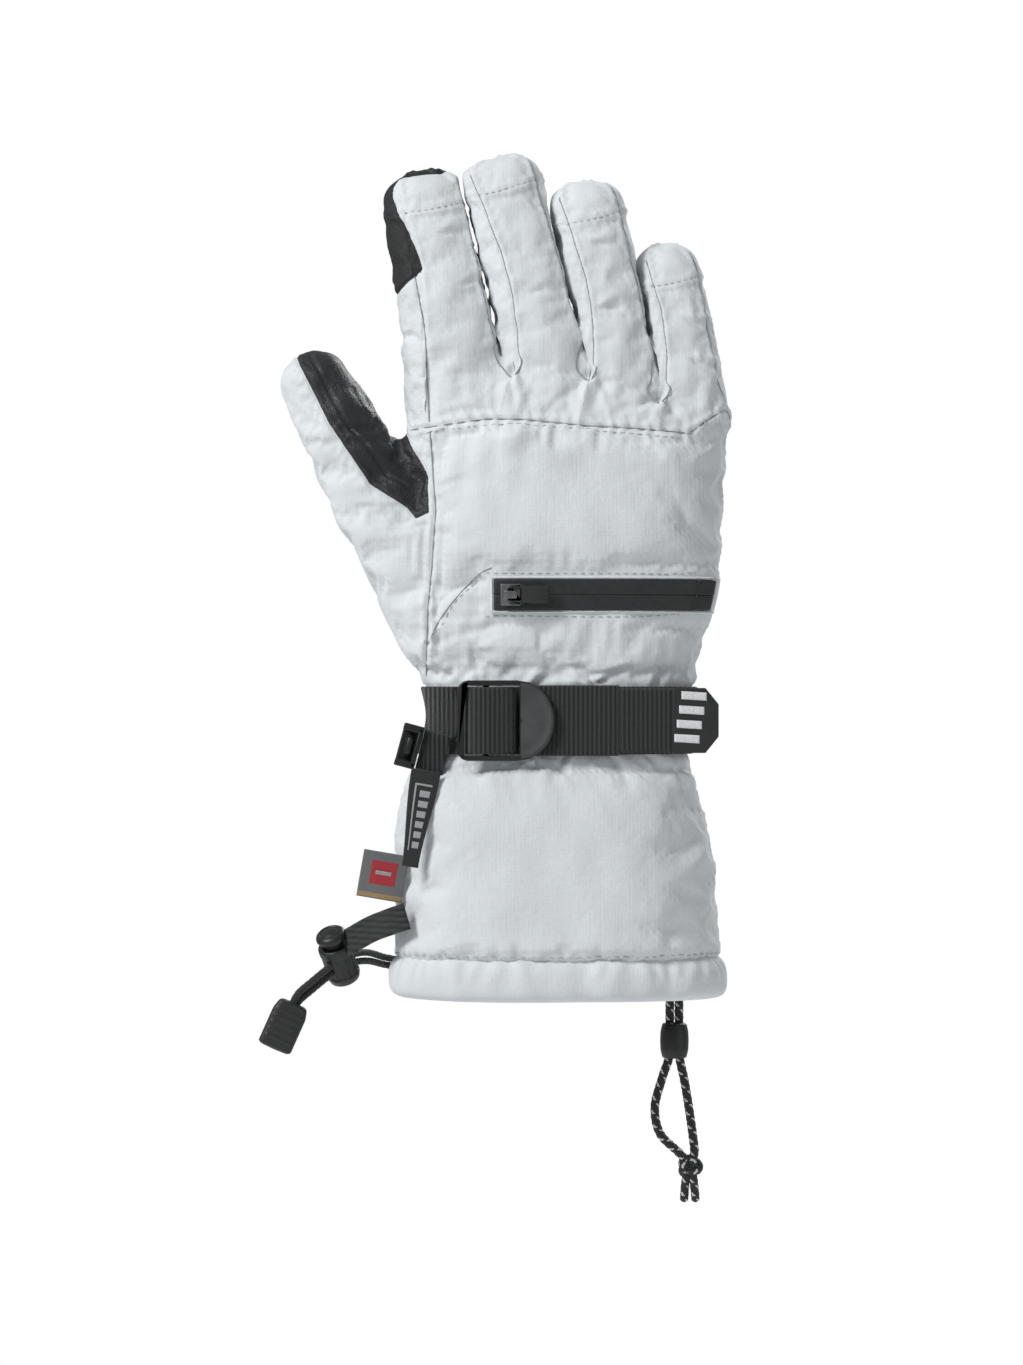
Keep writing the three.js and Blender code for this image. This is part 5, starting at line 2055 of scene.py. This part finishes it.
def size_label():
    """A square grey label with a plain red patch, a pale bar and a tan stripe."""
    place = flag_place((-65.5, -16.5, 45.5), 0.1, 0.17, 17, 17.5, 0.9)
    square = label_part(place, 0, 17, 0, 17.5, 0.8, 0)
    made = mesh_piece("size_label_cloth", *square, LABEL_GREY, "label_cloth", "gauntlet")
    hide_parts("size_label")
    marks = (
        ("stripe", (0.1, 16.9, 0.3, 2.1), 0.3, LABEL_TAN),
        ("patch", (3.6, 13.4, 5.2, 14.2), 0.3, LABEL_RED),
        ("bar", (5.6, 11.4, 9.0, 10.4), 0.55, LABEL_LINE),
    )
    for mark, area, lift, colour in marks:
        shape = label_part(place, *area, 0.3, lift)
        mesh_piece("size_label_" + mark, *shape, colour, "label_cloth", "gauntlet")


care_label()
size_label()

# ---------------------------------------------------------------- cords
def unit(v):
    v = np.array(v, float)
    return v / np.linalg.norm(v)


def braid(angle, along):
    """Crossing strands of a braided sleeve, as relief on its radius."""
    left = np.sin(4 * angle + 2 * math.pi * along / 2.4)
    right = np.sin(4 * angle - 2 * math.pi * along / 2.4)
    return 0.07 * np.maximum(left, right)


def cord_piece(name, node, body, line, radius, material):
    """A braided cord along a chosen route."""
    curve = smooth_line(line, 0.3)
    points, faces, uv = tube(curve, radius, 20, braid)
    made = mesh_piece(name, points, faces, material, "cord", body, uv=uv)
    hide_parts(node)
    return made


# The drawcord leaves the hem's eyelet, passes the cord lock and ends in its moulded tab.
CORD_MIDDLE = (
    (-58, 24.2, 9.6),
    (-62.2, 26.4, 10.6),
    (-66.5, 25.0, 11.5),
    (-72, 17, 13.5),
    (-77, 9.5, 13.5),
    (-82, 2, 12),
    (-87, -4.5, 8.5),
    (-92, -8.5, 4.5),
    (-97, -10.8, 0.2),
    (-99.8, -11.7, -4.4),
)
CORD_SIDE = np.array((0, -0.34, 0.94)) * 1.7
CORD_R = 1.25
LOCK_PLACE = np.array((-82.0, 2.0, 12.0))
LOCK_AXIS = unit((-0.25, -0.5, 0.83))
LOCK_BASE = LOCK_PLACE - 8 * LOCK_AXIS


def drawcord_line(side):
    """One run of the drawcord, beside the other."""
    spread = [0.72, 0.86, 0.9, 1, 1, 1, 1, 1, 1, 0.8]
    return [np.array(p) + side * k * CORD_SIDE for p, k in zip(CORD_MIDDLE, spread)]


def cord_lock():
    """Turned barrel with a grip ring, and a sprung button with a dished top."""
    flutes = lambda a, h: np.where((h > 4.4) & (h < 13.5), 0.14 * np.cos(16 * a), 0)
    barrel = [(0.1, 0), (3.6, 0), (5.6, 1.2), (6.3, 3.4), (6.3, 4.2), (6.0, 4.6), (6.0, 13.2), (6.35, 13.8)]
    barrel += [(6.35, 16.2), (5.9, 17), (4.5, 17), (4.5, 12.6), (0.1, 12.6)]
    shape = lathe(rounded(barrel, 0.5, 3), LOCK_AXIS, LOCK_BASE, 96, flutes)
    made = mesh_piece("cord_lock_barrel_shell", *shape, PLASTIC, "black_plastic", "gauntlet")
    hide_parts("cord_lock_barrel")
    button = [(0.1, 15.4), (4.1, 15.4), (4.1, 19.2), (5.5, 19.5), (5.95, 20.4), (5.6, 21.6), (4.7, 22.4)]
    button += [(4.1, 22.5), (3.8, 22.2), (3.2, 22.4), (1.8, 22.9), (0.1, 23.1)]
    shape = lathe(rounded(button, 0.35, 3), LOCK_AXIS, LOCK_BASE, 64)
    top = mesh_piece("cord_lock_button_shell", *shape, PLASTIC, "black_plastic", "lock_button")
    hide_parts("cord_lock_button")
    lock_spring()
    return made, top


def lock_spring():
    """Four turns of wire under the button."""
    turns = np.linspace(0, 4 * 2 * math.pi, 160)
    u = unit(np.cross(LOCK_AXIS, (0, 1, 0)))
    v = np.cross(LOCK_AXIS, u)
    coil = LOCK_BASE + 3.1 * (np.cos(turns)[:, None] * u + np.sin(turns)[:, None] * v)
    coil = coil + LOCK_AXIS * (13.2 + 1.7 * turns / turns[-1])[:, None]
    points, faces, _ = tube(coil, 0.3, 8)
    spring = mesh_piece("cord_lock_coil", points, faces, STEEL, "dark_steel", "gauntlet")
    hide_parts("cord_lock_spring")
    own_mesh(spring)


TAB_WIDTH, TAB_DEPTH, TAB_HEIGHT = 13.0, 6.5, 19.0
TAB_ROUNDING = 1.6
GRIP_RIB = 0.42
RIB_PITCH = 2.6


def tab_row(k, angle):
    """One ring of the cord-end tab, at a share of its height down from the top."""
    down = k * TAB_HEIGHT
    end = min(k, 1 - k) * TAB_HEIGHT
    draw = math.sqrt(max(0.0, 1 - (1 - min(end / TAB_ROUNDING, 1)) ** 2))
    c, s = np.cos(angle), np.sin(angle)
    x = TAB_WIDTH / 2 * draw ** 0.5 * np.sign(c) * np.abs(c) ** (2 / 5)
    y = TAB_DEPTH / 2 * max(draw, 0.02) * np.sign(s) * np.abs(s) ** (2 / 4)
    rib = GRIP_RIB * max(0, math.sin(2 * math.pi * (down - 3.6) / RIB_PITCH)) if 3.4 < down < 16 else 0
    y = y + np.where(s < -0.3, -rib * (np.abs(x) < TAB_WIDTH * 0.38), 0)
    taper = 1 - 0.16 * smooth_step((0.28 - k) / 0.28)
    return np.stack([x * taper, y, np.full(len(angle), -TAB_HEIGHT * k)], 1)


def end_tab():
    """The moulded tab that holds both ends of the drawcord, with grip ribs on its face."""
    turn = Matrix.Translation((-98.5, -11.4, -1.6)) @ Matrix.Rotation(0.42, 4, "Y")
    angle = np.linspace(0, 2 * math.pi, 72, endpoint=False)
    rows = [tab_row(k, angle) for k in np.linspace(0, 1, 61)]
    points = np.array([turn @ Vector(p) for p in np.concatenate(rows)])
    faces = [tuple(f) for f in grid_faces(len(rows), len(angle), close_columns=True)]
    made = mesh_piece("cord_end_moulding", points, faces, RUBBER, "dark_rubber", "gauntlet")
    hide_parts("cord_end_tab")
    return made


def eyelet():
    """The rim of the hole that the drawcord leaves the hem by."""
    out = unit((-0.62, 0.785, 0))
    place = np.array((-55.5, 20.5, 10)) + 2.2 * out
    rim = [(3.0, -2.4), (3.0, 0.3), (3.3, 0.85), (4.0, 1.15)]
    rim += [(4.7, 0.85), (5.1, 0.25), (5.2, -0.3), (4.9, -0.9)]
    shape = lathe(rounded(rim, 0.3, 3), out, place, 64)
    made = mesh_piece("eyelet_rim", *shape, STEEL, "dark_steel", "gauntlet")
    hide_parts("drawcord_eyelet")


# The tether's middle line, from the side seam to the cord lock's barrel.
TETHER_LINE = (
    (-56.5, -21.6, 31.0), (-63, -18.3, 28.6), (-70, -12.4, 25.6), (-76.5, -7.4, 21.8), (-80.5, -3.6, 19.6),
)
TETHER_WIDTH = 10


def tether():
    """Ribbed elastic band from the side seam to the cord lock."""
    line = smooth_line(TETHER_LINE, 0.4)
    run = lengths_along(line)
    way = np.gradient(line, axis=0)
    way /= np.linalg.norm(way, axis=1)[:, None]
    up = np.array((0, 0, 1.0)) - way * way[:, 2:3]
    up /= np.linalg.norm(up, axis=1)[:, None]
    out = np.cross(way, up)
    out = np.where((out[:, 1] > 0)[:, None], -out, out)

    def place(a, b):
        at = lambda w: np.stack([np.interp(a, run, w[:, k]) for k in range(3)], 1)
        return at(line) + at(up) * (b - TETHER_WIDTH / 2)[:, None], at(out)

    def grooves(a, b):
        lines = 0.32 * (np.abs(np.sin(math.pi * b / 2.5)) ** 0.6 - 0.7)
        return lines + 0.05 * np.sin(2 * math.pi * a)

    points, faces = slab(place, run[-1], TETHER_WIDTH, 1.9, 0.38, grooves)
    made = mesh_piece("tether_band", points, faces, TETHER, "webbing", "gauntlet")
    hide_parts("cord_tether")


eyelet()
tether()
lock_barrel, lock_button = cord_lock()
tab_end = end_tab()
for side, name in ((1, "front"), (-1, "rear")):
    cord_piece(
        "drawcord_run_" + name,
        "drawcord_" + name,
        "gauntlet",
        drawcord_line(side),
        CORD_R,
        CORD,
    )

# ---------------------------------------------------------------- wrist leash
LEASH_X, LEASH_Y, LEASH_R = 43.8, 25.6, 1.6
# Each run's distance to the right of the leash's middle, and its height.
LEFT_RUN = (
    (-1.75, -1.8), (-1.75, -13), (-1.8, -24), (-4.6, -33),
    (-7.4, -44), (-5.5, -54), (1.6, -61.2), (4.2, -64.2),
)
RIGHT_RUN = (
    (1.75, -1.8), (1.75, -13), (1.8, -24), (3.8, -34),
    (5.6, -45), (7, -55), (7.6, -61), (6.6, -64.6),
)
KNOT = np.array((49.6, 25.6, -66.6))


def leash_knot():
    """An overhand knot with its two cut tails."""
    t = np.linspace(0, 2 * math.pi, 150)
    ring = 2.15 + 1.15 * np.cos(3 * t)
    line = np.stack([ring * np.cos(2 * t) * 1.1, 1.25 * np.sin(3 * t), ring * np.sin(2 * t)], 1) + KNOT
    shapes = [tube(line, 1.45, 16, braid, ends=False)]
    for dx, lean in ((-1.7, -0.5), (1.7, 0.6)):
        tail = [KNOT + (dx * 0.6, 0, -2), KNOT + (dx, 0.2, -7), KNOT + (dx + lean, 0, -13.6)]
        line = smooth_line(tail, 0.3)
        shapes.append(tube(line, 1.55, 20, braid))
    points, faces = joined([(p, f) for p, f, _ in shapes])
    uv = np.concatenate([u for _, _, u in shapes])
    made = mesh_piece("leash_knot_wraps", points, faces, LEASH, "cord", "leash", uv=uv)
    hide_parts("leash_knot")
    return made


def leash_bead():
    """The barrel bead that slides on the leash, open right through for both runs."""
    half = 6.6
    profile = [(3.45, -half), (4.3, -half), (4.7, -6.0), (5.3, -3.4), (5.45, 0), (5.3, 3.4), (4.7, 6.0)]
    profile += [(4.3, half), (3.45, half), (3.45, 0), (3.45, -half)]
    ring = lambda a, h: np.where(np.abs(np.abs(h) - 4.4) < 0.35, -0.16, 0)
    shape = lathe(rounded(profile, 0.5, 3), (0, 0, 1), (LEASH_X, LEASH_Y, -18.8), 64, ring)
    made = mesh_piece("leash_bead_shell", *shape, PLASTIC, "black_plastic", "bead")
    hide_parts("leash_bead")


knot = leash_knot()
leash_bead()
for name, route in (("left", LEFT_RUN), ("right", RIGHT_RUN)):
    line = [(LEASH_X + dx, LEASH_Y, z) for dx, z in route]
    cord_piece(
        "leash_run_" + name,
        "leash_cord_" + name,
        "leash",
        line,
        LEASH_R,
        LEASH,
    )


def leash_anchor():
    """The stub of the leash's loop, sewn up inside the hem."""
    shapes = []
    for dx in (-1.75, 1.75):
        line = straight((LEASH_X + dx, LEASH_Y - 0.4, 8), (LEASH_X + dx, LEASH_Y, -2.2), 20)
        shapes.append(tube(line, 1.5, 14, braid, ends=False))
    points, faces = joined([(p, f) for p, f, _ in shapes])
    uv = np.concatenate([u for _, _, u in shapes])
    stub = mesh_piece("leash_sewn_end", points, faces, LEASH, "cord", None, uv=uv)
    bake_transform(stub)


leash_anchor()

# ---------------------------------------------------------------- stitching
hand_tree = surface_of(hand_mesh)
# Thread radii. The two numbers before each are a stitch's length and the gap after it.
HEM_THREAD, BACK_THREAD, PALM_THREAD, TIP_THREAD = 0.2, 0.18, 0.24, 0.17


def from_curve(curve, xs, dz, y):
    """Points at places across x, at a seam's height moved by dz."""
    return [(x, y, float(curve(x)) + dz) for x in xs]


round_hem = np.linspace(0, 2 * math.pi, 90)
hem_line = [section_point(np.array([a]), np.array([15.9]), 1.0)[0][0] for a in round_hem]
stitches("hem_stitches", [hem_line], hand_tree, GREY_THREAD, "shell_fabric", "gauntlet", 2.4, 1.1, HEM_THREAD)
around_zip = [(-28.5, 157.2), (57, 157.2)], [(-28.5, 141.2), (57, 141.2)]
zip_lines = [[(x, -24, z) for x, z in straight(a, b, 20)] for a, b in around_zip]
pocket_arc = [(-28.9, 157), (-33, 153.2), (-39.6, 146), (-44.5, 138.5), (-48, 131)]
zip_lines.append([(x, -22, z) for x, z in pocket_arc])
stitches("pocket_stitches", zip_lines, hand_tree, GREY_THREAD, "shell_fabric", "hand", 2.2, 1.0, BACK_THREAD)
knuckle_line = from_curve(BACK_KNUCKLE, np.linspace(-55, 58, 26), -1.9, -20)
stitches(
    "knuckle_stitches", [knuckle_line], hand_tree, GREY_THREAD, "shell_fabric", "hand", 2.2, 1.0, BACK_THREAD
)
palm_seam = [(x, 24, 158.2 - 0.02 * x) for x in np.linspace(-6, 53, 16)]
upper_seam = from_curve(PALM_UPPER, np.linspace(-44, 54, 24), -2.0, 24)
palm_lines = [palm_seam, upper_seam]
stitches("palm_stitches", palm_lines, hand_tree, DARK_THREAD, "palm_leather", "hand", 2.0, 1.3, PALM_THREAD)


def digit_point(name, s, angle):
    """The place on a digit at a distance up it and an angle round it; straight back is -90 degrees."""
    d = DIGITS[name]
    base, along, across, length = digit_frame(d)
    t = min(max(s / length, 0), 1)
    half, depth = digit_girth(d, t)
    u = half * math.cos(angle) - d.get("sway", 0) * t
    y = depth * math.sin(angle) + d["curl"] * t * t
    x, z = base + along * s + across * u
    return x, y, z


def facing_y(tree, points, way):
    """Where lines along Y, looking from the back (1) or from the palm (-1), first meet a surface."""
    spots = []
    for x, _, z in points:
        spot, _, _, _ = tree.ray_cast(Vector((x, -60 * way, z)), Vector((0, way, 0)))
        if spot:
            spots.append(spot)
    return np.array(spots)


def seam_line(name, line, tree, material, slot_name, radius=0.28, way=0):
    """A thin rounded line half sunk in the surface along a seam. In the dark seam material it is a painted
    shadow in the seam's groove; in leather it is piping.
    """
    curve = smooth_line(line, 1.0)
    spots = facing_y(tree, curve, way) if way else on_surface(tree, curve)[0]
    even = np.array(spots)
    for _ in range(3):
        even[1:-1] = (even[:-2] + 2 * even[1:-1] + even[2:]) / 4
    points, faces, _ = tube(even, radius, 6)
    return mesh_piece(name, points, faces, material, slot_name, None)


# The bottom of the notch below each gap between fingers.
NOTCHES = {"index": (-18, 232.5), "middle": (10.3, 231), "ring": (37, 222.3)}


def finger_seam_lines():
    """Dark painted shadow lines along the seams at both sides of each finger's back, and stitches across its
    tip.
    """
    for i, name in enumerate(FINGERS):
        tree = surface_of(finger_skins[name])
        length = digit_frame(DIGITS[name])[3]
        up = np.linspace(8, length - 5, 14)
        right = [digit_point(name, s, -RIGHT_ANGLE) for s in up]
        if name in NOTCHES:
            x, z = NOTCHES[name]
            right = [(x, -16, z), (x - 3.2, -15.5, z + 2.6)] + right
        else:
            right = [(60, -6, 220)] + right
        if name == "index":
            left = [(float(LONG_SEAM(z)), -14, z) for z in np.linspace(211, 268, 14)]
        else:
            x, z = NOTCHES[FINGERS[i - 1]]
            left = [digit_point(name, s, -left_angle(s / length)) for s in up]
            left = [(x, -16, z), (x + 3.2, -15.5, z + 2.6)] + left
        for side, line in (("left", left), ("right", right)):
            way = 1 if name + side == "indexleft" else 0
            # Each side is a dark tube: a painted shadow line along the seam's groove.
            seam = seam_line(name + "_" + side + "_seam", line, tree, SEAM_SHADOW, "shell_fabric", way=way)
            bend_with(seam)
        across = []
        for degrees in np.linspace(-122, -42, 12):
            u = math.cos(math.radians(degrees))
            s = length - tip_drop(name) + 1.5 * u * u
            across.append(digit_point(name, s, math.radians(degrees)))
        stitches(
            name + "_tip_stitches", [across], tree, GREY_THREAD, "shell_fabric", name, 1.7, 0.8, TIP_THREAD
        )


# The seam lines' dark grey is painted shadow: it stands in for the shade in the seams' grooves.
SEAM_SHADOW = thread("painted_seam_shadow", (0.3, 0.32, 0.335))
finger_seam_lines()
long_line = [(float(LONG_SEAM(z)), -22, z) for z in np.linspace(119, 210.5, 30)]
pocket_curve = [(-25, 159.3), (-29, 157.6), (-34, 153), (-40.6, 145.5), (-45.5, 138.5), (-47.5, 134)]
pocket_line = [(x, -22, z) for x, z in pocket_curve]
# Dark tubes along the long seam and the pocket's seam: painted shadow lines in their grooves.
for name, line in (("long_seam", long_line), ("pocket_seam", pocket_line)):
    seam = seam_line(name, line, hand_tree, SEAM_SHADOW, "shell_fabric", way=1)
    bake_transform(seam)
# A dark tube along the knuckle seam: a painted shadow line in its groove.
across_back = from_curve(BACK_KNUCKLE, np.linspace(-56, 60, 40), 0.1, -20)
knuckle_seam_shadow = seam_line("knuckle_seam_shadow", across_back, hand_tree, SEAM_SHADOW, "shell_fabric", 0.24, 1)
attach(knuckle_seam_shadow, "hand")
heel_line = [(float(HEEL_OUTER(z)), 24, z) for z in np.linspace(119, 192, 24)]
heel_piping = seam_line("palm_piping", heel_line, hand_tree, PALM, "palm_leather", 0.75, -1)
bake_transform(heel_piping)


def zigzag():
    """White zigzag stitching that joins the palm's leather to the elastic at the wrist."""
    xs = np.arange(-14.5, 47.5, 4.25)
    corners = [(x, 24, 117.6 if i % 2 else 113.2) for i, x in enumerate(xs)]
    shapes = []
    for a, b in zip(corners, corners[1:]):
        line = facing_y(hand_tree, straight(a, b, 9), -1)
        line[1:-1] = (line[:-2] + 2 * line[1:-1] + line[2:]) / 4
        points, faces, _ = tube(line + (0, 0.25, 0), 0.34, 8)
        shapes.append((points, faces))
    made = mesh_piece("palm_zigzag", *joined(shapes), WHITE_THREAD, "palm_leather", None)
    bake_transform(made)


zigzag()

# ---------------------------------------------------------------- floor and light
floor_data = bpy.data.meshes.new("floor")
floor = bpy.data.objects.new("floor", floor_data)
disc = bmesh.new()
bmesh.ops.create_circle(disc, cap_ends=True, radius=1.15, segments=96)
disc.to_mesh(floor_data)
disc.free()
floor.location = (0, 0, -0.36)
bpy.context.scene.collection.objects.link(floor)
pale = Nodes("pale_floor")
grain = pale.noise(pale.coordinates(), 30, 2)
floor_data.materials.append(pale.finish(pale.ramp(grain, [(0.0, 0.84), (1.0, 0.86)]), 0.8))


def studio_world(backdrop, ambient):
    """A white backdrop for the camera, and dimmer light from all round for the object."""
    world = bpy.data.worlds.new("studio")
    bpy.context.scene.world = world
    world.use_nodes = True
    tree = world.node_tree
    seen = tree.nodes["Background"]
    seen.inputs["Color"].default_value = (1, 1, 1, 1)
    seen.inputs["Strength"].default_value = backdrop
    around = tree.nodes.new("ShaderNodeBackground")
    around.inputs["Color"].default_value = (0.965, 0.985, 1, 1)
    around.inputs["Strength"].default_value = ambient
    rays = tree.nodes.new("ShaderNodeLightPath")
    mix = tree.nodes.new("ShaderNodeMixShader")
    tree.links.new(rays.outputs["Is Camera Ray"], mix.inputs["Fac"])
    tree.links.new(around.outputs[0], mix.inputs[1])
    tree.links.new(seen.outputs[0], mix.inputs[2])
    tree.links.new(mix.outputs[0], tree.nodes["World Output"].inputs["Surface"])


studio_world(1.0, 0.35)
bpy.context.scene.view_settings.view_transform = "Standard"


def area_light(name, place, size, power):
    """A square lamp aimed at the glove."""
    data = bpy.data.lights.new(name, "AREA")
    data.size = size
    data.energy = power
    lamp = bpy.data.objects.new(name, data)
    lamp.location = place
    lamp.rotation_euler = (CAMERA_AIM - Vector(place)).to_track_quat("-Z", "Y").to_euler()
    bpy.context.scene.collection.objects.link(lamp)


area_light("key", (-1.45, -1.15, 1.5), 0.7, 44)
area_light("fill", (1.7, -1.3, 0.1), 1.4, 3)
area_light("rear", (1.0, 1.7, 1.3), 1.0, 26)

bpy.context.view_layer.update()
